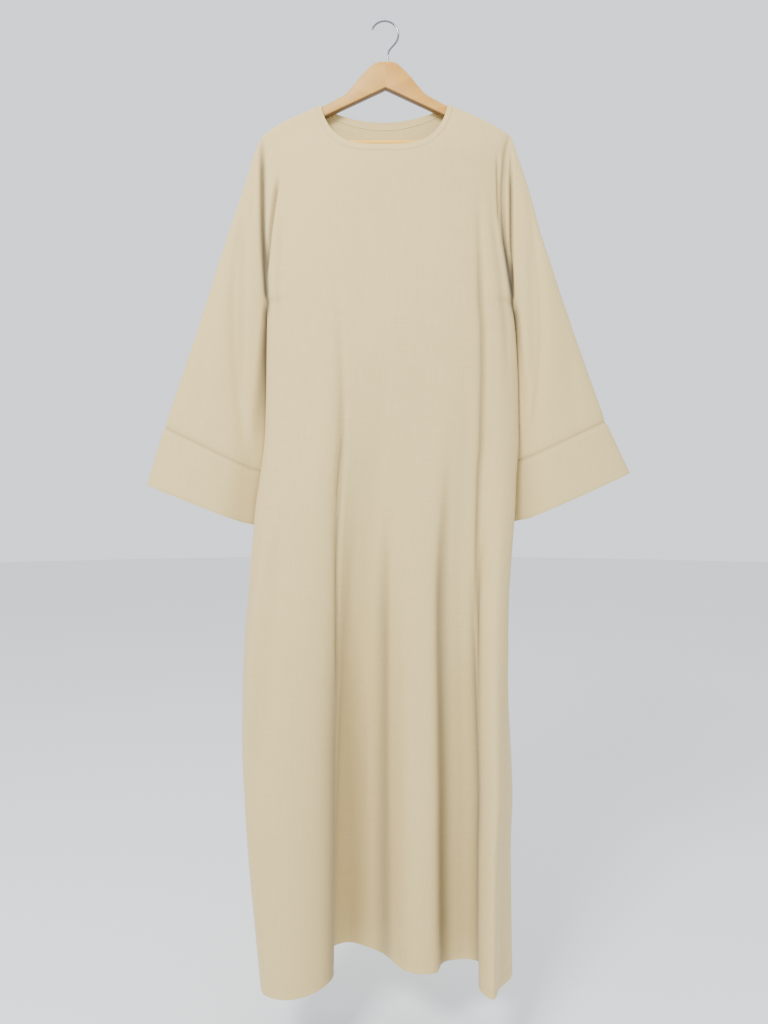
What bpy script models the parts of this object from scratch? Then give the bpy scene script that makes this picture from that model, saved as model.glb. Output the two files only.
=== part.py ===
"""An abaya hanging on a wooden hanger with a wire hook, in metres.

Frame: +X to the viewer's right, +Y away from the viewer, +Z up.
The origin is on the inner surface of the hook, above the garment's middle.
The body is one closed loop of cloth, cut at the side seams into front and back.
Each level of that loop is a plain rounded section at the chest, and it turns
into the folds of the two fold tables further down.
"""

import math
from collections import namedtuple

import bmesh
import bpy
import numpy as np

# Cloth
WALL = 0.0020
SEAM_GAP = 0.0003
SEAM_TRIM = 0.00018
ARMHOLE_GAP = 0.001
MIDDLE_X = -0.004
CHEST_Z = -0.480
KNEE_Z = -1.220
HEM_Z = -1.5886

# Shoulder line, neck and armhole
RIDGE_RADIUS = 0.0088
NECK_POINT = 0.1107
NECK_POINT_Z = -0.1424
SHOULDER_SLOPE = 0.461
SHOULDER_BEND_START = 0.157
LEFT_SHOULDER_BEND = 2.45
RIGHT_SHOULDER_BEND = 1.20
NECK_MIDDLE_X = -0.006
NECK_HALF_WIDTH = 0.1072
FRONT_NECK_DROP = 0.0810
BACK_NECK_DROP = 0.0240
BAND_WIDTH = 0.0085
NECK_SQUARENESS = 3.4
NECK_EASE = 0.667
NECK_FAN = 0.142
FAN_EASE = 0.6
NECK_PULL = 0.65
ARMHOLE_CLOSING = 0.030
MIDDLE_CLOSING = 0.260

# Hanger
ARM_END = 0.2035
ARM_THICKNESS = 0.0124
ARM_TOP_ROUNDING = 0.95
ARM_UNDER_ROUNDING = 0.6
ARM_TIP = 0.6
CROWN_Z = -0.0672
UNDERSIDE_SLOPE = 0.467
CLOTH_CLEARANCE = 0.0006
BAR_RADIUS = 0.0060
BAR_Z = -0.2068
BAR_HALF_LENGTH = 0.1860
BAR_FIT = 0.0003
WIRE_RADIUS = 0.00165
HOOK_INNER_RADIUS = 0.0215
HOOK_MIDDLE_X = -0.0055
HOOK_TIP_DEGREES = 156
HOOK_TURN_DEGREES = -36
HOOK_BEND = 0.011
STRAIGHT_SHANK = 0.010
SHANK_DEPTH = 0.0220

# How finely each piece is divided
SHOULDER_STEPS = 6
NECK_STEPS = 28
BACK_NECK_STEPS = 24
RIDGE_ROWS = 3
YOKE_ROWS = 6
SKIRT_ROWS = 17
SLEEVE_SIDES = 20
SLEEVE_RINGS = 11
CUFF_RINGS = 2
WIRE_SIDES = 10
END_CROWDING = 0.78
RING_CROWDING = 1.15

Level = namedtuple("Level", "z left right front back squareness bulge")
LEVELS = [
    Level(-0.1424, -0.2125, 0.2045, 0.0000, 0.0000, 2.0, 1.00),
    Level(-0.1900, -0.2125, 0.2045, 0.0130, 0.0075, 2.0, 1.00),
    Level(-0.2310, -0.2125, 0.1980, 0.0255, 0.0110, 2.2, 1.00),
    Level(-0.3000, -0.2120, 0.1935, 0.0297, 0.0135, 2.6, 0.80),
    Level(-0.3600, -0.2110, 0.1955, 0.0346, 0.0169, 2.8, 0.65),
    Level(-0.4200, -0.2080, 0.2035, 0.0398, 0.0202, 3.0, 0.55),
    Level(-0.4800, -0.2050, 0.2110, 0.0435, 0.0220, 3.0, 0.50),
    Level(-0.5400, -0.2065, 0.2180, 0.0455, 0.0224, 3.0, 0.50),
    Level(-0.6400, -0.2075, 0.2215, 0.0480, 0.0228, 3.0, 0.50),
    Level(-0.7100, -0.2095, 0.2215, 0.0500, 0.0230, 3.0, 0.50),
    Level(-0.7700, -0.2165, 0.2170, 0.0500, 0.0230, 3.0, 0.50),
    Level(-0.8300, -0.2245, 0.2135, 0.0500, 0.0230, 3.0, 0.50),
    Level(-0.8900, -0.2290, 0.2080, 0.0500, 0.0230, 3.0, 0.50),
    Level(-0.9700, -0.2345, 0.2010, 0.0500, 0.0230, 3.0, 0.50),
    Level(-1.0600, -0.2410, 0.1985, 0.0500, 0.0230, 3.0, 0.50),
    Level(-1.1500, -0.2430, 0.2034, 0.0500, 0.0230, 3.0, 0.50),
    Level(-1.2200, -0.2430, 0.2067, 0.0500, 0.0230, 3.0, 0.50),
    Level(-1.3000, -0.2385, 0.2090, 0.0500, 0.0230, 3.0, 0.50),
    Level(-1.3900, -0.2310, 0.2053, 0.0500, 0.0230, 3.0, 0.50),
    Level(-1.4800, -0.2210, 0.2050, 0.0500, 0.0230, 3.0, 0.50),
    Level(-1.5886, -0.2085, 0.2055, 0.0500, 0.0230, 3.0, 0.50),
]

Fold = namedtuple("Fold", "name knee_x knee_y hem_x hem_y")
FRONT_FOLDS = [
    Fold("left seam", -0.2350, -0.0050, -0.2050, 0.0050),
    Fold("left side", -0.2375, -0.0500, -0.2085, -0.0600),
    Fold("left roll corner", -0.2200, -0.0830, -0.1950, -0.1060),
    Fold("left roll front", -0.1780, -0.0950, -0.1600, -0.1185),
    Fold("left roll brow", -0.1250, -0.0860, -0.1150, -0.0990),
    Fold("left roll edge", -0.0890, -0.0560, -0.0915, -0.0600),
    Fold("deep flank", -0.0840, -0.0180, -0.0950, -0.0100),
    Fold("deep valley start", -0.0760, 0.0120, -0.0930, 0.0320),
    Fold("deep valley", -0.0500, 0.0220, -0.0700, 0.0430),
    Fold("deep valley end", -0.0250, 0.0100, -0.0400, 0.0310),
    Fold("rise", 0.0050, -0.0180, 0.0000, -0.0090),
    Fold("middle ridge left", 0.0380, -0.0430, 0.0380, -0.0450),
    Fold("middle ridge right", 0.0740, -0.0490, 0.0780, -0.0480),
    Fold("second valley start", 0.1000, -0.0280, 0.1040, -0.0170),
    Fold("second valley", 0.1240, -0.0180, 0.1300, -0.0080),
    Fold("right flank foot", 0.1450, -0.0220, 0.1540, -0.0150),
    Fold("right flank", 0.1470, -0.0450, 0.1490, -0.0600),
    Fold("right roll edge", 0.1500, -0.0700, 0.1480, -0.0950),
    Fold("right roll front", 0.1690, -0.0880, 0.1650, -0.1170),
    Fold("right seam", 0.1890, -0.0660, 0.1800, -0.0900),
]
BACK_FOLDS = [
    Fold("right seam", 0.1890, -0.0660, 0.1800, -0.0900),
    Fold("right side", 0.2002, -0.0330, 0.2040, -0.0600),
    Fold("right back corner", 0.2000, 0.0120, 0.2030, 0.0150),
    Fold("right back roll", 0.1800, 0.0380, 0.1830, 0.0520),
    Fold("right back rest", 0.1460, 0.0420, 0.1500, 0.0580),
    Fold("right tuck start", 0.1180, 0.0200, 0.1220, 0.0240),
    Fold("right tuck end", 0.0880, 0.0180, 0.0920, 0.0200),
    Fold("middle back roll", 0.0600, 0.0380, 0.0660, 0.0520),
    Fold("middle back rest", 0.0220, 0.0460, 0.0280, 0.0620),
    Fold("shallow tuck", -0.0160, 0.0420, -0.0120, 0.0540),
    Fold("behind the valley", -0.0560, 0.0470, -0.0550, 0.0625),
    Fold("left back rest", -0.0980, 0.0420, -0.0980, 0.0580),
    Fold("left tuck start", -0.1350, 0.0160, -0.1280, 0.0200),
    Fold("left tuck end", -0.1660, 0.0140, -0.1520, 0.0180),
    Fold("left back roll", -0.2050, 0.0330, -0.1800, 0.0440),
    Fold("left seam", -0.2350, -0.0050, -0.2050, 0.0050),
]

# Outer line and inner line of each sleeve, from the armhole to the cuff seam
Station = namedtuple("Station", "along outer_x outer_z inner_x inner_z depth")
LEFT_SLEEVE = [
    Station(0.00, -0.2128, -0.1938, -0.2050, -0.4700, 0.0088),
    Station(0.04, -0.2225, -0.2048, -0.2058, -0.4830, 0.0092),
    Station(0.10, -0.2288, -0.2260, -0.2066, -0.5050, 0.0100),
    Station(0.22, -0.2445, -0.2799, -0.2078, -0.5500, 0.0120),
    Station(0.36, -0.2685, -0.3515, -0.2084, -0.6000, 0.0140),
    Station(0.70, -0.3250, -0.5290, -0.2102, -0.6980, 0.0190),
    Station(1.00, -0.3794, -0.6899, -0.2190, -0.7664, 0.0220),
]
RIGHT_SLEEVE = [
    Station(0.00, 0.2048, -0.1908, 0.2105, -0.4700, 0.0088),
    Station(0.04, 0.2135, -0.1990, 0.2130, -0.4820, 0.0092),
    Station(0.10, 0.2210, -0.2245, 0.2160, -0.5000, 0.0100),
    Station(0.22, 0.2380, -0.2800, 0.2198, -0.5400, 0.0120),
    Station(0.36, 0.2590, -0.3580, 0.2216, -0.5850, 0.0140),
    Station(0.70, 0.3132, -0.5220, 0.2232, -0.6750, 0.0190),
    Station(1.00, 0.3692, -0.6797, 0.2210, -0.7477, 0.0220),
]
Cuff = namedtuple("Cuff", "outer_x outer_z inner_x inner_z depth")
LEFT_CUFF_EDGE = Cuff(-0.4083, -0.7870, -0.2313, -0.8570, 0.0240)
RIGHT_CUFF_EDGE = Cuff(0.4100, -0.7665, 0.2225, -0.8515, 0.0240)

# A soft vertical fold in each sleeve: where it crosses the last ring, and its depth
SLEEVE_FOLD_END = 0.86
SLEEVE_FOLD_DEPTH = 0.0070
SLEEVE_FOLD_WIDTH = 0.10

# How flat a sleeve's section is, and how fast its rings leave the armhole's line and form
SLEEVE_FLATNESS = 0.7
ARMHOLE_BOW = 20
ARMHOLE_MEETING = 8

# Hanger outline above and below, measured from its middle
Outline = namedtuple("Outline", "x top bottom")
ARM_OUTLINE = [
    Outline(0.0100, -0.0672, -0.1195),
    Outline(0.0185, -0.0700, -0.1234),
    Outline(0.0290, -0.0791, -0.1283),
    Outline(0.0420, -0.0925, -0.1344),
    Outline(0.0550, -0.1085, -0.1405),
    Outline(0.0690, -0.1234, -0.1470),
    Outline(0.0840, -0.1318, -0.1540),
    Outline(0.0980, -0.1395, -0.1606),
    Outline(0.1400, -0.1588, -0.1802),
    Outline(0.1600, -0.1680, -0.1900),
    Outline(0.1720, -0.1736, -0.2060),
    Outline(0.1860, -0.1800, -0.2160),
    Outline(0.1960, -0.1846, -0.2170),
    Outline(0.2010, -0.1885, -0.2140),
]


def slopes(places, values):
    """Slopes of a curve through the values that never overshoots them."""
    steps = np.diff(places)
    rises = np.diff(values) / steps
    result = np.zeros(len(values))
    result[0], result[-1] = rises[0], rises[-1]
    for i in range(1, len(values) - 1):
        if rises[i - 1] * rises[i] > 0:
            before = 2 * steps[i] + steps[i - 1]
            after = steps[i] + 2 * steps[i - 1]
            result[i] = (before + after) / (before / rises[i - 1] + after / rises[i])
    return result


def hermite(places, values, tangents, at):
    """Value at one place of the smooth curve with these tangents."""
    i = int(np.clip(np.searchsorted(places, at) - 1, 0, len(places) - 2))
    step = places[i + 1] - places[i]
    s = (at - places[i]) / step
    return (
        (2 * s**3 - 3 * s**2 + 1) * values[i]
        + (s**3 - 2 * s**2 + s) * step * tangents[i]
        + (3 * s**2 - 2 * s**3) * values[i + 1]
        + (s**3 - s**2) * step * tangents[i + 1]
    )


class Table:
    """Reads any column of a list of rows smoothly along its first column."""

    def __init__(self, rows, backwards=False):
        self.sign = -1.0 if backwards else 1.0
        self.places = np.array([self.sign * row[0] for row in rows])
        self.columns = {}
        for name in rows[0]._fields[1:]:
            values = np.array([getattr(row, name) for row in rows])
            self.columns[name] = (values, slopes(self.places, values))

    def read(self, name, at):
        place = min(max(self.sign * at, self.places[0]), self.places[-1])
        values, tangents = self.columns[name]
        return float(hermite(self.places, values, tangents, place))


level_table = Table(LEVELS, backwards=True)
arm_table = Table(ARM_OUTLINE)


def smooth_step(s):
    s = min(max(s, 0.0), 1.0)
    return s * s * (3 - 2 * s)


class Loop:
    """A closed smooth curve through the fold points; front is 0 to 1, back 1 to 2."""

    def __init__(self, x_name, y_name):
        self.points = []
        self.places = []
        for start, rows in ((0.0, FRONT_FOLDS), (1.0, BACK_FOLDS)):
            share = self.shares(rows)
            for place, row in zip(share[:-1], rows[:-1]):
                self.places.append(start + place)
                self.points.append((getattr(row, x_name), getattr(row, y_name)))
        self.places = np.array(self.places + [2.0])
        self.points = np.array(self.points + [self.points[0]])
        self.tangents = self.periodic_tangents()

    @staticmethod
    def shares(rows):
        """Each fold's share of the panel's width, measured along the hem."""
        hem = np.array([(row.hem_x, row.hem_y) for row in rows])
        lengths = np.linalg.norm(np.diff(hem, axis=0), axis=1)
        total = np.concatenate([[0.0], np.cumsum(lengths)])
        return total / total[-1]

    def periodic_tangents(self):
        count = len(self.places) - 1
        steps = np.diff(self.places)
        rises = np.diff(self.points, axis=0) / steps[:, None]
        tangents = np.zeros((count + 1, 2))
        for i in range(count):
            before, after = steps[i - 1], steps[i]
            mixed = rises[i - 1] * after + rises[i] * before
            tangents[i] = mixed / (before + after)
        tangents[count] = tangents[0]
        return tangents

    def at(self, t):
        return hermite(self.places, self.points, self.tangents, t % 2.0)


knee_loop = Loop("knee_x", "knee_y")
hem_loop = Loop("hem_x", "hem_y")


def panel_x(t, z):
    """Place across the body of a thread, before any fold."""
    left, right = level_table.read("left", z), level_table.read("right", z)
    share = t if t <= 1.0 else 2.0 - t
    return left + (right - left) * share


def bulge(x, z, column):
    """How far the middle of a panel stands out past its sides."""
    left, right = level_table.read("left", z), level_table.read("right", z)
    across = abs(2 * (x - left) / (right - left) - 1)
    across = min(across, 1.0)
    power = level_table.read("squareness", z)
    shape = (1 - across**power) ** level_table.read("bulge", z)
    return level_table.read(column, z) * shape


def skirt_point(t, z):
    """A point of the body loop below the chest."""
    t = t % 2.0
    plain_x = panel_x(t, z)
    if t <= 1.0:
        plain_y = -bulge(plain_x, z, "front")
    else:
        plain_y = bulge(plain_x, z, "back")
    plain = np.array([plain_x, plain_y])
    folded = smooth_step((CHEST_Z - z) / (CHEST_Z - KNEE_Z))
    below_knee = (KNEE_Z - z) / (KNEE_Z - HEM_Z)
    fold = knee_loop.at(t) + below_knee * (hem_loop.at(t) - knee_loop.at(t))
    x, y = plain * (1 - folded) + fold * folded
    return np.array([x, y, z])


def silhouette(z):
    """Sideways reach of the unfitted loop at one level."""
    reach = [skirt_point(t, z)[0] for t in np.linspace(0.0, 2.0, 121)]
    return min(reach), max(reach)


class Skirt:
    """The body loop, each level drawn out sideways to the garment's outline."""

    def __init__(self):
        self.reach = {}

    def point(self, t, z):
        key = round(z, 5)
        if key not in self.reach:
            self.reach[key] = silhouette(z)
        low, high = self.reach[key]
        x, y, _ = skirt_point(t, z)
        if x < 0:
            x += (level_table.read("left", z) - low) * (x / low) ** 2
        else:
            x += (level_table.read("right", z) - high) * (x / high) ** 2
        return np.array([x, y, z])


skirt = Skirt()


def ridge_z(x):
    """Height of the shoulder line, which bends down towards each armhole."""
    out = abs(x - MIDDLE_X)
    bend = LEFT_SHOULDER_BEND if x < MIDDLE_X else RIGHT_SHOULDER_BEND
    drop = bend * max(out - SHOULDER_BEND_START, 0.0) ** 2
    return NECK_POINT_Z - SHOULDER_SLOPE * (out - NECK_POINT) - drop


def yoke_point(side, x, down):
    """A point a distance down the cloth from the shoulder line; side is -1 in front."""
    quarter = RIDGE_RADIUS * math.pi / 2
    turn = min(down / RIDGE_RADIUS, math.pi / 2)
    z = ridge_z(x) - RIDGE_RADIUS * (1 - math.cos(turn)) - max(down - quarter, 0.0)
    half = RIDGE_RADIUS * math.sin(turn) * closing(x, z)
    column = "front" if side < 0 else "back"
    return np.array([x, side * (half + bulge(x, z, column)), z])


def closing(x, z):
    """Share of the shoulder's half thickness that is left at a height: short at the sides."""
    left, right = level_table.read("left", z), level_table.read("right", z)
    at_edge = min(abs(2 * (x - left) / (right - left) - 1), 1.0) ** 8
    return at_edge * edge_closing(z) + (1 - at_edge) * smooth_step((z - CHEST_Z) / MIDDLE_CLOSING)


def edge_closing(z):
    above = min(max((z - CHEST_Z) / ARMHOLE_CLOSING, 0.0), 1.0)
    return math.sqrt(1 - (1 - above) ** 2)


def armhole_half(edge_x, z):
    """Half thickness of the body at its side edge, which the sleeve's first ring meets."""
    turn = min(down_at(edge_x, z) / RIDGE_RADIUS, math.pi / 2)
    return RIDGE_RADIUS * math.sin(turn) * edge_closing(z)


def down_at(x, z):
    """Distance down the cloth from the shoulder line to a height."""
    drop = ridge_z(x) - z
    if drop >= RIDGE_RADIUS:
        return RIDGE_RADIUS * math.pi / 2 + drop - RIDGE_RADIUS
    return RIDGE_RADIUS * math.acos(1 - max(drop, 0.0) / RIDGE_RADIUS)


def yoke_normal(side, x, down):
    """Outward direction of the cloth at a point of the yoke."""
    step = 0.0004
    across = yoke_point(side, x + step, down) - yoke_point(side, x - step, down)
    along = yoke_point(side, x, down + step) - yoke_point(side, x, max(down - step, 0.0))
    normal = side * np.cross(across, along)
    return normal / np.linalg.norm(normal)


def neck_half(side, inset, count):
    """Half of a neck curve as places on the yoke, from the left shoulder to the right."""
    half_width = NECK_HALF_WIDTH + inset
    left = NECK_MIDDLE_X - half_width
    right = NECK_MIDDLE_X + half_width
    dense = []
    for angle in np.linspace(math.pi, 0.0, 361):
        across = math.cos(angle)
        x = NECK_MIDDLE_X + half_width * across
        share = (x - left) / (right - left)
        chord = ridge_z(left) * (1 - share) + ridge_z(right) * share
        if side < 0:
            sag = (FRONT_NECK_DROP + inset) * (1 - abs(across) ** NECK_SQUARENESS) ** NECK_EASE
        else:
            sag = (BACK_NECK_DROP + inset) * (1 - across**2)
        dense.append((x, down_at(x, min(chord - sag, ridge_z(x)))))
    return spaced(side, np.array(dense), count)


def spaced(side, places, count):
    """Places on the yoke, closer together near the ends of a curve than in its middle."""
    points = np.array([yoke_point(side, x, down) for x, down in places])
    lengths = np.linalg.norm(np.diff(points, axis=0), axis=1)
    total = np.concatenate([[0.0], np.cumsum(lengths)])
    even = np.linspace(0.0, 1.0, count + 1)
    rounded = (1 - np.cos(math.pi * even)) / 2
    wanted = total[-1] * (even * (1 - END_CROWDING) + rounded * END_CROWDING)
    return [(np.interp(w, total, places[:, 0]), np.interp(w, total, places[:, 1])) for w in wanted]


def column_shares(side, neck_steps):
    """Places across a panel at the chest: shoulder, neck, shoulder."""
    left, right = level_table.read("left", CHEST_Z), level_table.read("right", CHEST_Z)
    neck = np.array([x for x, _ in neck_half(side, BAND_WIDTH + SEAM_GAP / 2, neck_steps)])
    reach = NECK_HALF_WIDTH + BAND_WIDTH
    from_neck = (neck - NECK_MIDDLE_X) / reach
    even = np.linspace(-1.0, 1.0, neck_steps + 1)
    across = from_neck * NECK_PULL + even * (1 - NECK_PULL)
    shares = (NECK_MIDDLE_X + NECK_FAN * across - left) / (right - left)
    return (
        list(np.linspace(0.0, shares[0], SHOULDER_STEPS + 1))
        + list(shares)[1:]
        + list(np.linspace(shares[-1], 1.0, SHOULDER_STEPS + 1))[1:]
    )


def top_edge(side, neck_steps):
    """The panel's top edge on the yoke: shoulder seam, neck seam, shoulder seam."""
    neck = neck_half(side, BAND_WIDTH + SEAM_GAP / 2, neck_steps)
    left_end, right_end = LEVELS[0].left, LEVELS[0].right
    left = np.linspace(left_end, neck[0][0], SHOULDER_STEPS + 1)[:-1]
    right = np.linspace(neck[-1][0], right_end, SHOULDER_STEPS + 1)[1:]
    return [(x, 0.0) for x in left] + neck + [(x, 0.0) for x in right]


def yoke_x(share, x_top, z, gone):
    """Place across the yoke of a thread, once it has gone a part of the way to the chest."""
    edge = "left" if share < 0.5 else "right"
    edge_top, edge_chest = level_table.read(edge, 0.0), level_table.read(edge, CHEST_Z)
    spread = gone ** FAN_EASE
    straight = edge_top + (edge_chest - edge_top) * spread
    at_side = abs(2 * share - 1) ** 6
    x = x_top + (panel_x(share, CHEST_Z) - x_top) * spread
    return x + (level_table.read(edge, z) - straight) * at_side


def panel_rows(side, neck_steps):
    """Rows of outer points and normals of one panel, shoulder to hem."""
    shares = column_shares(side, neck_steps)
    edge = top_edge(side, neck_steps)
    starts = [RIDGE_RADIUS * math.pi / 2 * k / RIDGE_ROWS for k in range(RIDGE_ROWS + 1)]
    rows, normals = [], []
    for j in range(len(starts) + YOKE_ROWS):
        row, row_normals = [], []
        for share, (x_top, begin) in zip(shares, edge):
            z_top = yoke_point(side, x_top, begin)[2]
            if j < len(starts):
                down = begin + starts[j]
                z = yoke_point(side, x_top, down)[2]
                x = yoke_x(share, x_top, z, starts[j] / (z_top - CHEST_Z))
            else:
                high = yoke_point(side, x_top, begin + starts[-1])[2]
                z = high + (CHEST_Z - high) * (j - len(starts) + 1) / (YOKE_ROWS + 1)
                x = yoke_x(share, x_top, z, (z_top - z) / (z_top - CHEST_Z))
                down = down_at(x, z)
            point = yoke_point(side, x, down)
            if down < SEAM_GAP:
                point[1] += side * SEAM_GAP / 2
            row.append(point)
            row_normals.append(yoke_normal(side, x, down))
        rows.append(row)
        normals.append(row_normals)
    for z in np.linspace(CHEST_Z, HEM_Z, SKIRT_ROWS + 1):
        places = [t if side < 0 else 2.0 - t for t in shares]
        rows.append([skirt.point(t, z) for t in places])
        normals.append([skirt_normal(t, z) for t in places])
    return np.array(rows), np.array(normals)


def skirt_normal(t, z):
    """Outward direction of the body loop."""
    low = max(z - 0.004, HEM_Z)
    high = min(z + 0.004, CHEST_Z)
    around = skirt.point(t + 0.010, z) - skirt.point(t - 0.010, z)
    upward = skirt.point(t, high) - skirt.point(t, low)
    normal = np.cross(around, upward)
    return normal / np.linalg.norm(normal)


def outward_normals(grid):
    """Unit normals of a tube's grid of points; its last column meets the first."""
    across = np.roll(grid, -1, axis=1) - np.roll(grid, 1, axis=1)
    down = np.gradient(grid, axis=0)
    normals = np.cross(across, down)
    return normals / np.maximum(np.linalg.norm(normals, axis=2, keepdims=True), 1e-12)


def wall_mesh(outer, inner, closed):
    """One closed wall between two grids of points, faces pointing out."""
    rows, columns = outer.shape[:2]
    mesh = bmesh.new()
    skins = []
    for grid in (outer, inner):
        skins.append([[mesh.verts.new(p) for p in row] for row in grid])
    around = columns if closed else columns - 1
    for skin, flip in ((skins[0], False), (skins[1], True)):
        for i in range(rows - 1):
            for j in range(around):
                k = (j + 1) % columns
                face = [skin[i][j], skin[i][k], skin[i + 1][k], skin[i + 1][j]]
                mesh.faces.new(face[::-1] if flip else face)
    for i, flip in ((0, True), (rows - 1, False)):
        for j in range(around):
            k = (j + 1) % columns
            face = [skins[0][i][j], skins[0][i][k], skins[1][i][k], skins[1][i][j]]
            mesh.faces.new(face[::-1] if flip else face)
    if not closed:
        for j, flip in ((0, False), (columns - 1, True)):
            for i in range(rows - 1):
                face = [skins[0][i][j], skins[0][i + 1][j], skins[1][i + 1][j], skins[1][i][j]]
                mesh.faces.new(face[::-1] if flip else face)
    bmesh.ops.triangulate(mesh, faces=mesh.faces[:])
    bmesh.ops.recalc_face_normals(mesh, faces=mesh.faces[:])
    return mesh


def add_object(name, mesh, material):
    """Puts a bmesh into the scene as a named object."""
    data = bpy.data.meshes.new(name)
    mesh.to_mesh(data)
    mesh.free()
    data.shade_smooth()
    data.set_sharp_from_angle(angle=math.radians(40))
    data.materials.append(material)
    piece = bpy.data.objects.new(name, data)
    bpy.context.collection.objects.link(piece)
    return piece


def add_material(name, colour, roughness, metallic=0.0):
    material = bpy.data.materials.new(name)
    material.use_nodes = True
    shader = material.node_tree.nodes["Principled BSDF"]
    shader.inputs["Base Color"].default_value = (*colour, 1.0)
    shader.inputs["Roughness"].default_value = roughness
    shader.inputs["Metallic"].default_value = metallic
    return material


def seam_trim(grid):
    """Moves a panel's side edges in, a little over half a seam gap."""
    result = grid.copy()
    for edge, beside in ((0, 1), (-1, -2)):
        step = grid[:, beside] - grid[:, edge]
        length = np.linalg.norm(step, axis=1, keepdims=True)
        result[:, edge] = grid[:, edge] + step / length * SEAM_TRIM
    return result


def make_panel(name, side, neck_steps, material):
    grid, normals = panel_rows(side, neck_steps)
    trimmed = seam_trim(grid)
    return add_object(name, wall_mesh(trimmed, trimmed - normals * WALL, False), material)


def sleeve_ring(table, sign, along):
    """One ring of a sleeve: top, front, bottom, back."""
    names = ("outer_x", "outer_z", "inner_x", "inner_z", "depth")
    outer_x, outer_z, inner_x, inner_z, depth = (table.read(n, along) for n in names)
    fold_at = SLEEVE_FOLD_END * smooth_step((along - 0.05) / 0.95)
    ring = []
    for j in range(SLEEVE_SIDES):
        angle = 2 * math.pi * j / SLEEVE_SIDES
        s = (1 - math.cos(angle)) / 2
        x = outer_x + (inner_x - outer_x) * s
        z = outer_z + (inner_z - outer_z) * s
        near = math.exp(-(((s - fold_at) / SLEEVE_FOLD_WIDTH) ** 2))
        face = -1.0 if j < SLEEVE_SIDES / 2 else 1.0
        edge = level_table.read("left" if sign < 0 else "right", z)
        half = abs(math.sin(angle)) ** SLEEVE_FLATNESS * depth - near * SLEEVE_FOLD_DEPTH * along
        meets = (1 - along) ** ARMHOLE_MEETING * smooth_step(4 * (1 - s))
        y = face * (half + (armhole_half(edge, z) - half) * meets)
        if j in (0, SLEEVE_SIDES // 2):
            y = 0.0
        x += (edge + sign * ARMHOLE_GAP - x) * (1 - along) ** ARMHOLE_BOW
        ring.append((x, y, z))
    return ring


def make_sleeve(name, sign, stations, material):
    table = Table(stations)
    rings = []
    for i in range(SLEEVE_RINGS + 1):
        along = (i / SLEEVE_RINGS) ** RING_CROWDING
        rings.append(sleeve_ring(table, sign, along))
    grid = np.array(rings)
    normals = sign * outward_normals(grid)
    normals[0, :, 0] = 0.0  # the armhole's edge keeps its own line through the wall
    normals[0] /= np.linalg.norm(normals[0], axis=1, keepdims=True)
    add_object(name, wall_mesh(grid, grid - normals * WALL, True), material)
    return grid[-1]


def make_cuff(name, sign, seam_ring, edge, material):
    """The cuff carries the sleeve's last ring on to its own lower edge."""
    lower = []
    for j in range(SLEEVE_SIDES):
        angle = 2 * math.pi * j / SLEEVE_SIDES
        s = (1 - math.cos(angle)) / 2
        x = edge.outer_x + (edge.inner_x - edge.outer_x) * s
        z = edge.outer_z + (edge.inner_z - edge.outer_z) * s
        y = seam_ring[j][1] * edge.depth / LEFT_SLEEVE[-1].depth
        lower.append((x, y, z))
    lower = np.array(lower)
    step = lower - seam_ring
    first = seam_ring + step / np.linalg.norm(step, axis=1, keepdims=True) * SEAM_GAP
    rings = [first + (lower - first) * i / CUFF_RINGS for i in range(CUFF_RINGS + 1)]
    grid = np.array(rings)
    normals = sign * outward_normals(grid)
    add_object(name, wall_mesh(grid, grid - normals * WALL, True), material)


def make_neck_band(material):
    """The narrow strip round the neck, over both shoulders."""
    rings, normals = [], []
    for inset in (0.0, BAND_WIDTH / 2, BAND_WIDTH - SEAM_GAP / 2):
        places = [(-1, x, down) for x, down in neck_half(-1, inset, NECK_STEPS)[:-1]]
        places += [(1, x, down) for x, down in neck_half(1, inset, BACK_NECK_STEPS)[:0:-1]]
        rings.append([yoke_point(*place) for place in places])
        normals.append([yoke_normal(*place) for place in places])
    grid, normals = np.array(rings), np.array(normals)
    add_object("neck_band", wall_mesh(grid, grid - normals * WALL, True), material)


def arm_section(x, sign):
    """One upright section of a hanger arm, with rounded corners."""
    bottom = arm_table.read("bottom", x)
    under_cloth = ridge_z(MIDDLE_X + sign * x) - WALL * math.hypot(1.0, SHOULDER_SLOPE) - CLOTH_CLEARANCE
    top = arm_table.read("top", x)
    if x > NECK_POINT - 2 * BAND_WIDTH:
        top = min(top, under_cloth)
    half = ARM_THICKNESS / 2
    ridge, under = half * ARM_TOP_ROUNDING, half * ARM_UNDER_ROUNDING
    section = []
    for centre_z, start, radius in ((top - ridge, 0, ridge), (bottom + under, 180, under)):
        inner = half - radius
        for k in range(5):
            angle = math.radians(start + 45 * k)
            y = radius * math.cos(angle) + math.copysign(inner, math.cos(angle))
            if k == 2:
                y = 0.0
            section.append((MIDDLE_X + sign * x, y, centre_z + radius * math.sin(angle)))
    return section


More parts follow.
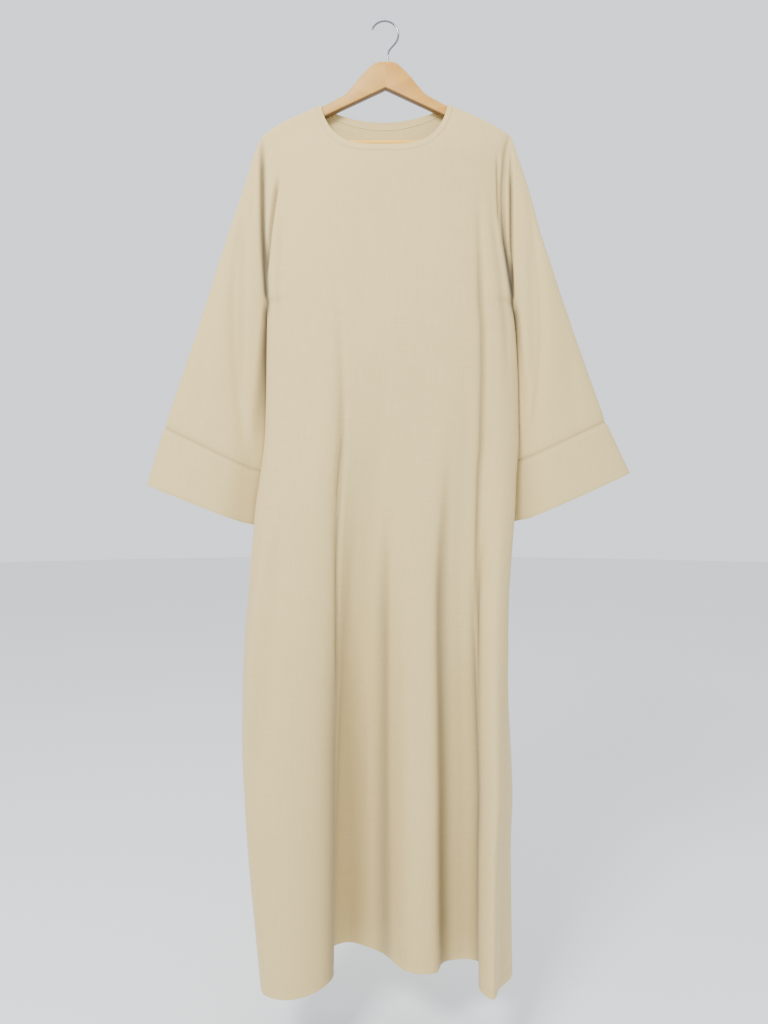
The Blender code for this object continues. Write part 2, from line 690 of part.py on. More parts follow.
def make_arm(name, sign, material):
    xs = [0.00015] + [row.x for row in ARM_OUTLINE] + [ARM_END]
    mesh = bmesh.new()
    rings = []
    for x in xs:
        section = arm_section(min(max(x, ARM_OUTLINE[0].x), ARM_OUTLINE[-1].x), sign)
        moved = [(MIDDLE_X + sign * x, y, z) for _, y, z in section]
        if x < ARM_OUTLINE[0].x:
            moved = [(px, py, pz if pz > -0.09 else pz + ARM_OUTLINE[0].x * UNDERSIDE_SLOPE)
                     for px, py, pz in moved]
        if x == ARM_END:
            middle_z = sum(p[2] for p in moved) / len(moved)
            moved = [(px, py * ARM_TIP, middle_z + (pz - middle_z) * ARM_TIP) for px, py, pz in moved]
        rings.append([mesh.verts.new(p) for p in moved])
    for first, second in zip(rings, rings[1:]):
        for j in range(len(first)):
            k = (j + 1) % len(first)
            mesh.faces.new([first[j], first[k], second[k], second[j]])
    mesh.faces.new(rings[0])
    mesh.faces.new(rings[-1][::-1])
    bmesh.ops.recalc_face_normals(mesh, faces=mesh.faces[:])
    return add_object(name, mesh, material)


def add_cutter(name, radius, depth, middle, axis):
    """A hidden cylinder that drills a hole."""
    bpy.ops.mesh.primitive_cylinder_add(vertices=16, radius=radius, depth=depth, location=middle)
    cutter = bpy.context.object
    cutter.name = name
    if axis == "X":
        cutter.rotation_euler = (0.0, math.pi / 2, 0.0)
    cutter.hide_render = True
    cutter.display_type = "WIRE"
    return cutter


def drill(piece, cutter):
    cut = piece.modifiers.new("drilled", "BOOLEAN")
    cut.operation = "DIFFERENCE"
    cut.object = cutter


def make_bar(material):
    bpy.ops.mesh.primitive_cylinder_add(
        vertices=14, radius=BAR_RADIUS, depth=2 * BAR_HALF_LENGTH,
        location=(MIDDLE_X, 0.0, BAR_Z), rotation=(0.0, math.pi / 2, 0.0))
    bar = bpy.context.object
    bar.name = "hanger_bar"
    bar.data.name = "hanger_bar"
    bar.data.shade_smooth()
    bar.data.set_sharp_from_angle(angle=math.radians(40))
    bar.data.materials.append(material)


def hook_path():
    """The wire's centre line, from the open tip round to the shank."""
    radius = HOOK_INNER_RADIUS + WIRE_RADIUS
    middle_z = -math.sqrt(HOOK_INNER_RADIUS**2 - HOOK_MIDDLE_X**2)
    points = []
    for degrees in range(HOOK_TIP_DEGREES, HOOK_TURN_DEGREES - 1, -12):
        angle = math.radians(degrees)
        points.append((HOOK_MIDDLE_X + radius * math.cos(angle),
                       middle_z + radius * math.sin(angle)))
    bend_start = np.array(points[-1])
    bend_end = np.array([0.0, CROWN_Z + STRAIGHT_SHANK])
    away = math.radians(HOOK_TURN_DEGREES)
    leave = bend_start + HOOK_BEND * np.array([math.sin(away), -math.cos(away)])
    arrive = bend_end + np.array([0.0, HOOK_BEND])
    for k in range(1, 7):
        s = k / 6
        point = ((1 - s)**3 * bend_start + 3 * s * (1 - s)**2 * leave
                 + 3 * s * s * (1 - s) * arrive + s**3 * bend_end)
        points.append(tuple(point))
    points.append((0.0, CROWN_Z))
    points.append((0.0, CROWN_Z - SHANK_DEPTH))
    return points


def make_hook(material):
    path = hook_path()
    mesh = bmesh.new()
    rings = []
    for i, (x, z) in enumerate(path):
        before = path[max(i - 1, 0)]
        after = path[min(i + 1, len(path) - 1)]
        along = math.atan2(after[1] - before[1], after[0] - before[0])
        ring = []
        for k in range(WIRE_SIDES):
            angle = 2 * math.pi * k / WIRE_SIDES
            out = WIRE_RADIUS * math.cos(angle)
            ring.append(mesh.verts.new((x - out * math.sin(along),
                                        WIRE_RADIUS * math.sin(angle),
                                        z + out * math.cos(along))))
        rings.append(ring)
    for first, second in zip(rings, rings[1:]):
        for j in range(WIRE_SIDES):
            k = (j + 1) % WIRE_SIDES
            mesh.faces.new([first[j], first[k], second[k], second[j]])
    mesh.faces.new(rings[0][::-1])
    mesh.faces.new(rings[-1])
    bmesh.ops.recalc_face_normals(mesh, faces=mesh.faces[:])
    add_object("hook", mesh, material)


def main():
    for old in list(bpy.data.objects):
        bpy.data.objects.remove(old, do_unlink=True)
    cloth = add_material("beige crepe", (0.640, 0.540, 0.400), 0.85)
    light_wood = add_material("light wood", (0.640, 0.420, 0.200), 0.45)
    warm_wood = add_material("warm wood", (0.600, 0.340, 0.120), 0.45)
    chrome = add_material("chrome", (0.780, 0.780, 0.790), 0.12, 1.0)

    make_panel("front", -1, NECK_STEPS, cloth)
    make_panel("back", 1, BACK_NECK_STEPS, cloth)
    make_neck_band(cloth)
    left_ring = make_sleeve("left_sleeve", -1, LEFT_SLEEVE, cloth)
    right_ring = make_sleeve("right_sleeve", 1, RIGHT_SLEEVE, cloth)
    make_cuff("left_cuff", -1, left_ring, LEFT_CUFF_EDGE, cloth)
    make_cuff("right_cuff", 1, right_ring, RIGHT_CUFF_EDGE, cloth)

    left_arm = make_arm("hanger_left_arm", -1, light_wood)
    right_arm = make_arm("hanger_right_arm", 1, warm_wood)
    make_bar(warm_wood)
    make_hook(chrome)
    shank = add_cutter("shank_hole", WIRE_RADIUS + BAR_FIT, 2 * SHANK_DEPTH + 0.002,
                       (0.0, 0.0, CROWN_Z), "Z")
    bar_hole = add_cutter("bar_hole", BAR_RADIUS + BAR_FIT, 2 * BAR_HALF_LENGTH + 2 * BAR_FIT,
                          (MIDDLE_X, 0.0, BAR_Z), "X")
    for arm in (left_arm, right_arm):
        drill(arm, shank)
        drill(arm, bar_hole)


main()
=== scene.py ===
import math

import bmesh
import bpy
import numpy as np
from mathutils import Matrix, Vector


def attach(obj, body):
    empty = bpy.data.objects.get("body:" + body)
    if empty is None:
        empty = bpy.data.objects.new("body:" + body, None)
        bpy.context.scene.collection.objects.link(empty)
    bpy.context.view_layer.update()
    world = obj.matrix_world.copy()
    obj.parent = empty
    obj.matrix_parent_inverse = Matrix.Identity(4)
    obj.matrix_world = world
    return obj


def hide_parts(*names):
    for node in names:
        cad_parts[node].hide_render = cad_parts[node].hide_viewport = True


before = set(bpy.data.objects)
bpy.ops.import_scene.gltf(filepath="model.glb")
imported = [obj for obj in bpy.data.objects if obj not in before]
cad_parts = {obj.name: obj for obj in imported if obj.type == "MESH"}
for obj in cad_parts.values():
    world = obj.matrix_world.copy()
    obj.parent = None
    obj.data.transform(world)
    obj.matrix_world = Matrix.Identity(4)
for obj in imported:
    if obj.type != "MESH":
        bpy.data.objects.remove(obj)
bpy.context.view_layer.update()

# sizes of the whole garment, in metres
body = {
    "middleX": -0.004,
    "chestZ": -0.48,
    "kneeZ": -1.22,
    "hemZ": -1.5886,
    "ridgeRadius": 0.0088,      # how round the cloth goes over the hanger's arms
    "neckPoint": 0.1107,
    "neckPointZ": -0.1424,
    "shoulderSlope": 0.461,
    "bendStart": 0.157,
    "leftBend": 2.45,
    "rightBend": 1.2,
    "neckMiddleX": -0.006,
    "neckHalfWidth": 0.1072,
    "frontNeckDrop": 0.081,
    "backNeckDrop": 0.024,
    "neckSquareness": 3.4,
    "neckEase": 0.667,
    "bandWidth": 0.0085,
    "neckFan": 0.142,
    "neckPull": 0.65,
    "fanEase": 0.6,
    "armholeClosing": 0.03,
    "middleClosing": 0.26,
    "clothThickness": 0.0011,
    "seamGap": 0.0003,
    "besideGap": 0.0006,        # between a sleeve's inner edge and the body
    "panelWidth": 0.411,        # a crease's place across is measured on this width
    "sideSharpness": 8,         # how close to its edge the yoke closes early
    "sideFollow": 6,            # how close to its edge a column follows the edge's line
    "loopSamples": 121,
    "neckSamples": 721,
}

# level, left edge, right edge, front depth, back depth, squareness, bulge
levels = [
    (-0.1424, -0.2125, 0.2045, 0.0, 0.0, 2.0, 1.0),
    (-0.19, -0.2125, 0.2045, 0.013, 0.0075, 2.0, 1.0),
    (-0.231, -0.2125, 0.198, 0.0255, 0.011, 2.2, 1.0),
    (-0.3, -0.212, 0.1935, 0.0297, 0.0135, 2.6, 0.8),
    (-0.36, -0.211, 0.1955, 0.0346, 0.0169, 2.8, 0.65),
    (-0.42, -0.208, 0.2035, 0.0398, 0.0202, 3.0, 0.55),
    (-0.48, -0.205, 0.211, 0.0435, 0.022, 3.0, 0.5),
    (-0.54, -0.2065, 0.218, 0.0455, 0.0224, 3.0, 0.5),
    (-0.64, -0.2075, 0.2215, 0.048, 0.0228, 3.0, 0.5),
    (-0.71, -0.2095, 0.2215, 0.05, 0.023, 3.0, 0.5),
    (-0.77, -0.2165, 0.217, 0.05, 0.023, 3.0, 0.5),
    (-0.83, -0.2245, 0.2135, 0.05, 0.023, 3.0, 0.5),
    (-0.89, -0.229, 0.208, 0.05, 0.023, 3.0, 0.5),
    (-0.97, -0.2345, 0.201, 0.05, 0.023, 3.0, 0.5),
    (-1.06, -0.241, 0.1985, 0.05, 0.023, 3.0, 0.5),
    (-1.15, -0.243, 0.2034, 0.05, 0.023, 3.0, 0.5),
    (-1.22, -0.243, 0.2067, 0.05, 0.023, 3.0, 0.5),
    (-1.3, -0.2385, 0.209, 0.05, 0.023, 3.0, 0.5),
    (-1.39, -0.231, 0.2053, 0.05, 0.023, 3.0, 0.5),
    (-1.48, -0.221, 0.205, 0.05, 0.023, 3.0, 0.5),
    (-1.5886, -0.2085, 0.2055, 0.05, 0.023, 3.0, 0.5),
]

# the folds round the body: place at the knee, place at the hem
frontFolds = [
    ("left seam", -0.235, -0.005, -0.205, 0.005),
    ("left side", -0.2375, -0.05, -0.2085, -0.06),
    ("left roll corner", -0.22, -0.083, -0.195, -0.106),
    ("left roll front", -0.178, -0.095, -0.16, -0.1185),
    ("left roll brow", -0.125, -0.086, -0.115, -0.099),
    ("left roll edge", -0.089, -0.056, -0.0915, -0.06),
    ("deep flank", -0.084, -0.018, -0.095, -0.01),
    ("deep valley start", -0.076, 0.012, -0.093, 0.032),
    ("deep valley", -0.05, 0.022, -0.07, 0.043),
    ("deep valley end", -0.025, 0.01, -0.04, 0.031),
    ("rise", 0.005, -0.018, 0.0, -0.009),
    ("middle ridge left", 0.038, -0.043, 0.038, -0.045),
    ("middle ridge right", 0.074, -0.049, 0.078, -0.048),
    ("second valley start", 0.1, -0.028, 0.104, -0.017),
    ("second valley", 0.124, -0.018, 0.13, -0.008),
    ("right flank foot", 0.145, -0.022, 0.154, -0.015),
    ("right flank", 0.147, -0.045, 0.149, -0.06),
    ("right roll edge", 0.15, -0.07, 0.148, -0.095),
    ("right roll front", 0.169, -0.088, 0.165, -0.117),
    ("right seam", 0.189, -0.066, 0.18, -0.09),
]
backFolds = [
    ("right seam", 0.189, -0.066, 0.18, -0.09),
    ("right side", 0.2002, -0.033, 0.204, -0.06),
    ("right back corner", 0.2, 0.012, 0.203, 0.015),
    ("right back roll", 0.18, 0.038, 0.183, 0.052),
    ("right back rest", 0.146, 0.042, 0.15, 0.058),
    ("right tuck start", 0.118, 0.02, 0.122, 0.024),
    ("right tuck end", 0.088, 0.018, 0.092, 0.02),
    ("middle back roll", 0.06, 0.038, 0.066, 0.052),
    ("middle back rest", 0.022, 0.046, 0.028, 0.062),
    ("shallow tuck", -0.016, 0.042, -0.012, 0.054),
    ("behind the valley", -0.056, 0.047, -0.055, 0.0625),
    ("left back rest", -0.098, 0.042, -0.098, 0.058),
    ("left tuck start", -0.135, 0.016, -0.128, 0.02),
    ("left tuck end", -0.166, 0.014, -0.152, 0.018),
    ("left back roll", -0.205, 0.033, -0.18, 0.044),
    ("left seam", -0.235, -0.005, -0.205, 0.005),
]


def slopesOf(places, values):
    steps = np.diff(places)
    rises = np.diff(values) / steps
    result = np.zeros(len(values))
    result[0], result[-1] = rises[0], rises[-1]
    for i in range(1, len(values) - 1):
        if rises[i - 1] * rises[i] > 0:
            before = 2 * steps[i] + steps[i - 1]
            after = steps[i] + 2 * steps[i - 1]
            result[i] = (before + after) / (before / rises[i - 1] + after / rises[i])
    return result


def hermiteAt(places, values, tangents, at):
    # at is an array; values may have several columns
    at = np.asarray(at, float)
    i = np.clip(np.searchsorted(places, at) - 1, 0, len(places) - 2)
    step = places[i + 1] - places[i]
    s = (at - places[i]) / step
    if values.ndim > 1:
        s, step = s[..., None], step[..., None]
    return ((2 * s**3 - 3 * s**2 + 1) * values[i] + (s**3 - 2 * s**2 + s) * step * tangents[i]
            + (3 * s**2 - 2 * s**3) * values[i + 1] + (s**3 - s**2) * step * tangents[i + 1])


class Table:
    # reads a column of a list of rows smoothly along the first column
    def __init__(self, rows, names, sign=1.0):
        self.sign = sign
        self.places = np.array([sign * row[0] for row in rows])
        self.columns = {}
        for k, name in enumerate(names):
            values = np.array([row[k + 1] for row in rows])
            self.columns[name] = (values, slopesOf(self.places, values))

    def read(self, name, at):
        place = np.clip(self.sign * np.asarray(at, float), self.places[0], self.places[-1])
        values, tangents = self.columns[name]
        return hermiteAt(self.places, values, tangents, place)


levelTable = Table(levels, ["left", "right", "front", "back", "squareness", "bulge"], -1.0)


def foldLoop(column):
    points, places = [], []
    for start, rows in ((0.0, frontFolds), (1.0, backFolds)):
        hem = np.array([row[3:5] for row in rows])
        lengths = np.linalg.norm(np.diff(hem, axis=0), axis=1)
        share = np.concatenate([[0.0], np.cumsum(lengths)]) / lengths.sum()
        places += list(start + share[:-1])
        points += [row[column:column + 2] for row in rows[:-1]]
    places, points = np.array(places + [2.0]), np.array(points + [points[0]])
    steps = np.diff(places)
    rises = np.diff(points, axis=0) / steps[:, None]
    before, after = np.roll(steps, 1)[:, None], steps[:, None]
    tangents = (np.roll(rises, 1, axis=0) * after + rises * before) / (before + after)
    return places, points, np.concatenate([tangents, tangents[:1]])


kneeLoop, hemLoop = foldLoop(1), foldLoop(3)


def smoothStep(s):
    s = np.clip(s, 0.0, 1.0)
    return s * s * (3 - 2 * s)


def bell(away, width):
    return np.exp(-(away / width) ** 2)


def edgesAt(z):
    return levelTable.read("left", z), levelTable.read("right", z)


def acrossAt(x, z):
    # 0 at the middle of the body, 1 at its side edges
    left, right = edgesAt(z)
    return np.minimum(abs(2 * (x - left) / (right - left) - 1), 1.0)


def panelX(t, z):
    left, right = edgesAt(z)
    return left + (right - left) * np.where(t <= 1.0, t, 2.0 - t)


def bulgeAt(x, z, column):
    shape = (1 - acrossAt(x, z) ** levelTable.read("squareness", z)) ** levelTable.read("bulge", z)
    return levelTable.read(column, z) * shape


def rawSkirt(t, z):
    t = np.mod(t, 2.0)
    x = panelX(t, z)
    y = np.where(t <= 1.0, -bulgeAt(x, z, "front"), bulgeAt(x, z, "back"))
    folded = smoothStep((body["chestZ"] - z) / (body["chestZ"] - body["kneeZ"]))
    belowKnee = (body["kneeZ"] - z) / (body["kneeZ"] - body["hemZ"])
    knee, hem = hermiteAt(*kneeLoop, t), hermiteAt(*hemLoop, t)
    fold = knee + np.asarray(belowKnee)[..., None] * (hem - knee)
    return x * (1 - folded) + fold[..., 0] * folded, y * (1 - folded) + fold[..., 1] * folded


def skirtPoints(t, z):
    # t across the loop, z one level for each row; the widest points are stretched to the side edges
    t, z = np.broadcast_arrays(t, z)
    around = np.linspace(0.0, 2.0, body["loopSamples"])[None, :]
    reach = rawSkirt(*np.broadcast_arrays(around, z[:, :1]))[0]
    low, high = reach.min(axis=1)[:, None], reach.max(axis=1)[:, None]
    x, y = rawSkirt(t, z)
    left, right = edgesAt(z)
    stretch = np.where(x < 0, (left - low) * (x / low) ** 2, (right - high) * (x / high) ** 2)
    return np.stack([x + stretch, y, z], axis=-1)


def ridgeZ(x):
    # the shoulder line bends down towards each armhole
    out = abs(x - body["middleX"])
    bend = np.where(x < body["middleX"], body["leftBend"], body["rightBend"])
    drop = bend * np.maximum(out - body["bendStart"], 0.0) ** 2
    return body["neckPointZ"] - body["shoulderSlope"] * (out - body["neckPoint"]) - drop


def yokePoints(side, x, down):
    radius = body["ridgeRadius"]
    quarter = radius * math.pi / 2
    turn = np.minimum(down / radius, math.pi / 2)
    z = ridgeZ(x) - radius * (1 - np.cos(turn)) - np.maximum(down - quarter, 0.0)
    half = radius * np.sin(turn) * closingAt(x, z)
    column = "front" if side < 0 else "back"
    return np.stack([x, side * (half + bulgeAt(x, z, column)), z], axis=-1)


def closingAt(x, z):
    # share of the shoulder's half thickness that is left at a height, short at the sides
    atEdge = acrossAt(x, z) ** body["sideSharpness"]
    return atEdge * edgeClosing(z) + (1 - atEdge) * smoothStep((z - body["chestZ"]) / body["middleClosing"])


def edgeClosing(z):
    above = np.clip((z - body["chestZ"]) / body["armholeClosing"], 0.0, 1.0)
    return np.sqrt(1 - (1 - above) ** 2)


def armholeHalf(edgeX, z):
    # half thickness of the body at its side edge, which a sleeve's first ring meets
    turn = np.minimum(downAt(edgeX, z) / body["ridgeRadius"], math.pi / 2)
    return body["ridgeRadius"] * np.sin(turn) * edgeClosing(z)


armholes = {
    # down each armhole seam: height, and the share of the half thickness that is drawn in
    "left": [(-0.195, 0.0), (-0.232, 0.45), (-0.275, 0.8), (-0.405, 0.84), (-0.45, 0.45), (-0.482, 0.0)],
    "right": [(-0.185, 0.0), (-0.225, 0.5), (-0.3, 0.62), (-0.35, 0.84), (-0.415, 0.84), (-0.455, 0.45),
              (-0.482, 0.0)],
    "width": 0.0042,
    "backShare": 0.45,          # the back is drawn in less and gets less painted shade
    # the same for the painted shade beside the seam, and further down where the sleeve goes behind the body
    "leftShade": [(-0.2, 0.0), (-0.25, 0.85), (-0.302, 0.85), (-0.353, 0.95), (-0.404, 1.15), (-0.455, 1.5),
                  (-0.557, 1.6), (-0.642, 0.85), (-0.71, 0.08), (-0.87, 0.25)],
    "rightShade": [(-0.19, 0.0), (-0.25, 0.4), (-0.302, 0.4), (-0.353, 0.7), (-0.404, 1.1), (-0.455, 1.4),
                   (-0.506, 1.5), (-0.557, 0.75), (-0.6, 0.2), (-0.642, 0.0), (-0.71, 0.05), (-0.78, 0.15),
                   (-0.87, 0.3)],
    "shade": 0.0105,            # a share of 1 paints shade as dark as a crease this deep gets
    "shadeWidth": 0.0046,
    "panelFade": 0.03,          # the painted shade beside the seam ends over these heights at the chest
    "sleeveFade": 0.02,
    "lap": 0.0008,              # the sleeve's edge is sewn in under the panels' edges
    "lapUnder": 0.0004,
    "lapEnds": 20,              # powers: how soon along the sleeve each of these has ended
    "lapUnderEnds": 40,
    "meetingEnds": 8,
    "tuckInward": 0.0034,       # below the armhole the sleeve's edge goes behind the body's
    "tuckBack": 0.0105,
    "tuckFrom": 0.8,            # share across the sleeve
    "tuckAbove": 0.012,
    "tuckEase": 0.035,
}


def byHeight(rows, z):
    heights, values = np.array(rows).T
    return np.interp(-z, -heights, values)


def besideSeam(key, x, z, y, width):
    # fades to both sides of an armhole seam, and is weaker on the back
    return bell(x - levelTable.read(key, z), width) * np.where(y > 0, armholes["backShare"], 1.0)


def drawnIn(key, x, z, y):
    return byHeight(armholes[key], z) * besideSeam(key, x, z, y, armholes["width"])


# painted shade down an armhole seam and beside it
def shadeAt(key, z):
    return armholes["shade"] * byHeight(armholes[key + "Shade"], z)


def seamShade(key, grid):
    x, y, z = np.moveaxis(grid, -1, 0)
    return shadeAt(key, z) * besideSeam(key, x, z, y, armholes["shadeWidth"])


def downAt(x, z):
    radius = body["ridgeRadius"]
    drop = np.maximum(ridgeZ(x) - z, 0.0)
    steep = radius * np.arccos(np.clip(1 - drop / radius, 0.0, 1.0))
    return np.where(drop >= radius, radius * math.pi / 2 + drop - radius, steep)


def neckHalf(side, inset, count, crowding=0.78):
    # half of a neck curve as places on the yoke, left shoulder to right
    halfWidth = body["neckHalfWidth"] + inset
    angle = np.linspace(math.pi, 0.0, body["neckSamples"])
    across = np.cos(angle)
    x = body["neckMiddleX"] + halfWidth * across
    ends = ridgeZ(np.array([x[0], x[-1]]))
    share = (x - x[0]) / (x[-1] - x[0])
    chord = ends[0] * (1 - share) + ends[1] * share
    if side < 0:
        sag = (body["frontNeckDrop"] + inset) * (1 - abs(across) ** body["neckSquareness"]) ** body["neckEase"]
    else:
        sag = (body["backNeckDrop"] + inset) * (1 - across**2)
    down = downAt(x, np.minimum(chord - sag, ridgeZ(x)))
    points = yokePoints(side, x, down)
    total = np.concatenate([[0.0], np.cumsum(np.linalg.norm(np.diff(points, axis=0), axis=1))])
    even = np.linspace(0.0, 1.0, count + 1)
    wanted = total[-1] * (even * (1 - crowding) + (1 - np.cos(math.pi * even)) / 2 * crowding)
    return np.interp(wanted, total, x), np.interp(wanted, total, down)


creaseEnds = {"over": 0.04, "start": 0.3, "stop": 0.35}    # shares of a crease's length


def creaseAt(u, v, u0, v0, u1, v1, width, deep, bow=0.0):
    # one soft trough (positive) or ridge (negative) along a short line
    length = math.hypot(u1 - u0, v1 - v0)
    alongU, alongV = (u1 - u0) / length, (v1 - v0) / length
    s = ((u - u0) * alongU + (v - v0) * alongV) / length
    off = (u - u0) * alongV - (v - v0) * alongU - bow * np.sin(math.pi * np.clip(s, 0, 1))
    over = creaseEnds["over"]
    ends = smoothStep((s + over) / creaseEnds["start"]) * smoothStep((1 + over - s) / creaseEnds["stop"])
    return deep * ends * bell(off, width)


def creaseDepth(rows, u, v):
    return sum((creaseAt(u, v, *row[1:]) for row in rows), np.zeros_like(u))


# front and back: how fine, and the creases pressed into them by hanging
# name, from across, from down, to across, to down, width, depth, bow (metres; across 0 is the left side)
front = {
    "shoulderSteps": 38,
    "edgeCrowding": 1.6,
    "neckSteps": 92,
    "ridgeRows": 8,
    "yokeRows": 60,
    "skirtRows": 190,
    "hemDepth": 0.013,
    "creases": [
        ("left fold line", 0.1195, 0.44, 0.1553, 1.85, 0.0056, 0.007, 0.003),
        ("left fold brow", 0.103, 0.48, 0.134, 1.75, 0.014, -0.0028, 0.002),
        ("right fold line", 0.365, 0.28, 0.36, 1.08, 0.0062, 0.0056, -0.012),
        ("right fold low line", 0.362, 0.86, 0.343, 1.85, 0.006, 0.0054, 0.002),
        ("right fold brow", 0.378, 0.32, 0.386, 1.0, 0.011, -0.0026, -0.002),
        ("right armhole tuck", 0.397, 0.225, 0.401, 0.36, 0.0035, 0.0045, 0.002),
        ("right armhole drag", 0.386, 0.3, 0.392, 0.62, 0.007, 0.0022, 0.004),
        ("left armhole tuck", 0.0215, 0.255, 0.0, 0.445, 0.0028, 0.0072, 0.0),
        ("left armhole drag", 0.031, 0.285, 0.02, 0.56, 0.008, 0.002, -0.004),
        ("middle soft fold", 0.21, 0.78, 0.237, 1.85, 0.012, 0.0062, 0.002),
        ("middle soft roll", 0.262, 0.66, 0.272, 1.8, 0.016, -0.0032, -0.003),
        ("second fold line", 0.302, 0.7, 0.303, 1.85, 0.0092, 0.0074, 0.002),
        ("collar drag left", 0.118, 0.205, 0.07, 0.33, 0.015, 0.001, 0.004),
        ("collar drag right", 0.302, 0.205, 0.35, 0.32, 0.014, 0.001, -0.004),
        ("breast ripple", 0.16, 0.3, 0.158, 0.56, 0.013, 0.001, 0.002),
        ("breast ripple two", 0.255, 0.33, 0.262, 0.54, 0.015, 0.0009, -0.003),
        ("left roll ripple", 0.064, 0.76, 0.058, 1.36, 0.015, 0.0018, 0.006),
        ("left roll side", 0.03, 0.84, 0.034, 1.42, 0.013, 0.0016, -0.004),
    ],
    # the same columns, for painted shade in dark lines where a fold turns away: colour only
    "shades": [
        ("left fold edge", 0.133, 1.0, 0.13, 1.85, 0.0125, 0.0062, 0.0),
        ("left fold hollow", 0.16, 1.0, 0.172, 1.85, 0.01, 0.0054, 0.0),
        ("right fold hollow", 0.343, 0.9, 0.339, 1.85, 0.0072, 0.0074, 0.0),
        ("right fold edge", 0.364, 0.86, 0.366, 1.85, 0.011, 0.008, 0.0),
    ],
}
back = {
    "shoulderSteps": 30,
    "edgeCrowding": 1.6,
    "neckSteps": 76,
    "ridgeRows": 8,
    "yokeRows": 50,
    "skirtRows": 160,
    "hemDepth": 0.013,
    "creases": [
        ("left long fold", 0.07, 0.42, 0.076, 1.2, 0.011, 0.003, 0.003),
        ("left long roll", 0.1, 0.46, 0.104, 1.25, 0.017, -0.0022, -0.003),
        ("middle fold", 0.19, 0.52, 0.186, 1.3, 0.014, 0.0026, 0.004),
        ("middle roll", 0.226, 0.48, 0.228, 1.15, 0.018, -0.002, 0.002),
        ("right long fold", 0.318, 0.4, 0.312, 1.18, 0.01, 0.0032, -0.004),
        ("right roll", 0.348, 0.44, 0.346, 1.1, 0.015, -0.0022, 0.003),
        ("left armhole tuck", 0.02, 0.24, 0.03, 0.47, 0.007, 0.0026, -0.003),
        ("right armhole tuck", 0.392, 0.24, 0.38, 0.49, 0.007, 0.0028, 0.003),
        ("collar drag left", 0.13, 0.19, 0.086, 0.32, 0.015, 0.001, 0.004),
        ("collar drag right", 0.292, 0.19, 0.336, 0.33, 0.015, 0.001, -0.004),
        ("seat ripple", 0.256, 0.7, 0.262, 1.34, 0.012, 0.0018, -0.003),
    ],
    "shades": [],
}


def panelShares(side, settings):
    left, right = edgesAt(body["chestZ"])
    neckX, neckDown = neckHalf(side, body["bandWidth"] + body["seamGap"] / 2, settings["neckSteps"])
    fromNeck = (neckX - body["neckMiddleX"]) / (body["neckHalfWidth"] + body["bandWidth"])
    even = np.linspace(-1.0, 1.0, settings["neckSteps"] + 1)
    across = fromNeck * body["neckPull"] + even * (1 - body["neckPull"])
    neckShares = (body["neckMiddleX"] + body["neckFan"] * across - left) / (right - left)
    steps = settings["shoulderSteps"]
    ease = np.linspace(0.0, 1.0, steps + 1)[:-1] ** settings["edgeCrowding"]
    shares = np.concatenate([neckShares[0] * ease, neckShares, 1 - (1 - neckShares[-1]) * ease[::-1]])
    topX = np.concatenate([levels[0][1] + (neckX[0] - levels[0][1]) * ease, neckX,
                           levels[0][2] + (neckX[-1] - levels[0][2]) * ease[::-1]])
    topDown = np.concatenate([np.zeros(steps), neckDown, np.zeros(steps)])
    return shares, topX, topDown


def panelGrid(side, settings):
    shares, topX, topDown = panelShares(side, settings)
    chest = body["chestZ"]
    starts = np.linspace(0.0, body["ridgeRadius"] * math.pi / 2, settings["ridgeRows"] + 1)
    zTop = yokePoints(side, topX, topDown)[:, 2]
    high = yokePoints(side, topX, topDown + starts[-1])[:, 2]
    isLeft = shares < 0.5
    edgeTop = np.where(isLeft, *levels[0][1:3])
    edgeChest = np.where(isLeft, *edgesAt(chest))
    atSide = abs(2 * shares - 1) ** body["sideFollow"]
    rows = []
    for j in range(len(starts) + settings["yokeRows"]):
        if j < len(starts):
            z = yokePoints(side, topX, topDown + starts[j])[:, 2]
            gone = starts[j] / (zTop - chest)
        else:
            z = high + (chest - high) * (j - len(starts) + 1) / (settings["yokeRows"] + 1)
            gone = (zTop - z) / (zTop - chest)
        spread = gone ** body["fanEase"]
        edge = np.where(isLeft, *edgesAt(z))
        x = topX + (panelX(shares, np.full_like(shares, chest)) - topX) * spread
        x = x + (edge - edgeTop - (edgeChest - edgeTop) * spread) * atSide
        down = topDown + starts[j] if j < len(starts) else downAt(x, z)
        points = yokePoints(side, x, down)
        drawn = drawnIn("left", x, z, points[:, 1]) + drawnIn("right", x, z, points[:, 1])
        points[:, 1] *= 1 - drawn
        rows.append(points)
    zRows = np.linspace(chest, body["hemZ"], settings["skirtRows"] + 1)
    t = shares if side < 0 else 2.0 - shares
    skirtGrid = skirtPoints(t[None, :], zRows[:, None])
    return np.concatenate([np.array(rows), skirtGrid]), shares


def gridNormals(grid, closed, sign):
    if closed:
        across = np.roll(grid, -1, axis=1) - np.roll(grid, 1, axis=1)
    else:
        across = np.gradient(grid, axis=1)
    down = np.gradient(grid, axis=0)
    normals = sign * np.cross(across, down)
    return normals / np.maximum(np.linalg.norm(normals, axis=2, keepdims=True), 1e-9)


crepe = {
    "light": (0.71, 0.55, 0.25),
    "dark": (0.54, 0.4, 0.162),
    # the colour of the painted shade in creases, at seams and where a sleeve tucks behind the body
    "deep": (0.07, 0.056, 0.04),
    "threadsPerMetre": 1500.0,
    "bump": 0.3,
    "fullShadeDepth": 0.0105,          # a crease this deep gets the darkest painted shade
    "unshaded": 0.0011,         # shallower than this, a crease gets no painted shade
    # how much of the colour the darkest painted shade takes
    "paintedDarkening": 0.86,
    "sharpDegrees": 50,
    "warpStreaks": (520.0, 22.0),    # thick and thin threads: how fine across, how fine along
    "weftStreaks": (20.0, 560.0),
    "sheen": 0.22,
}


# painted shade from a crease's depth
def creaseShade(depth):
    return np.maximum(depth - crepe["unshaded"], 0.0)


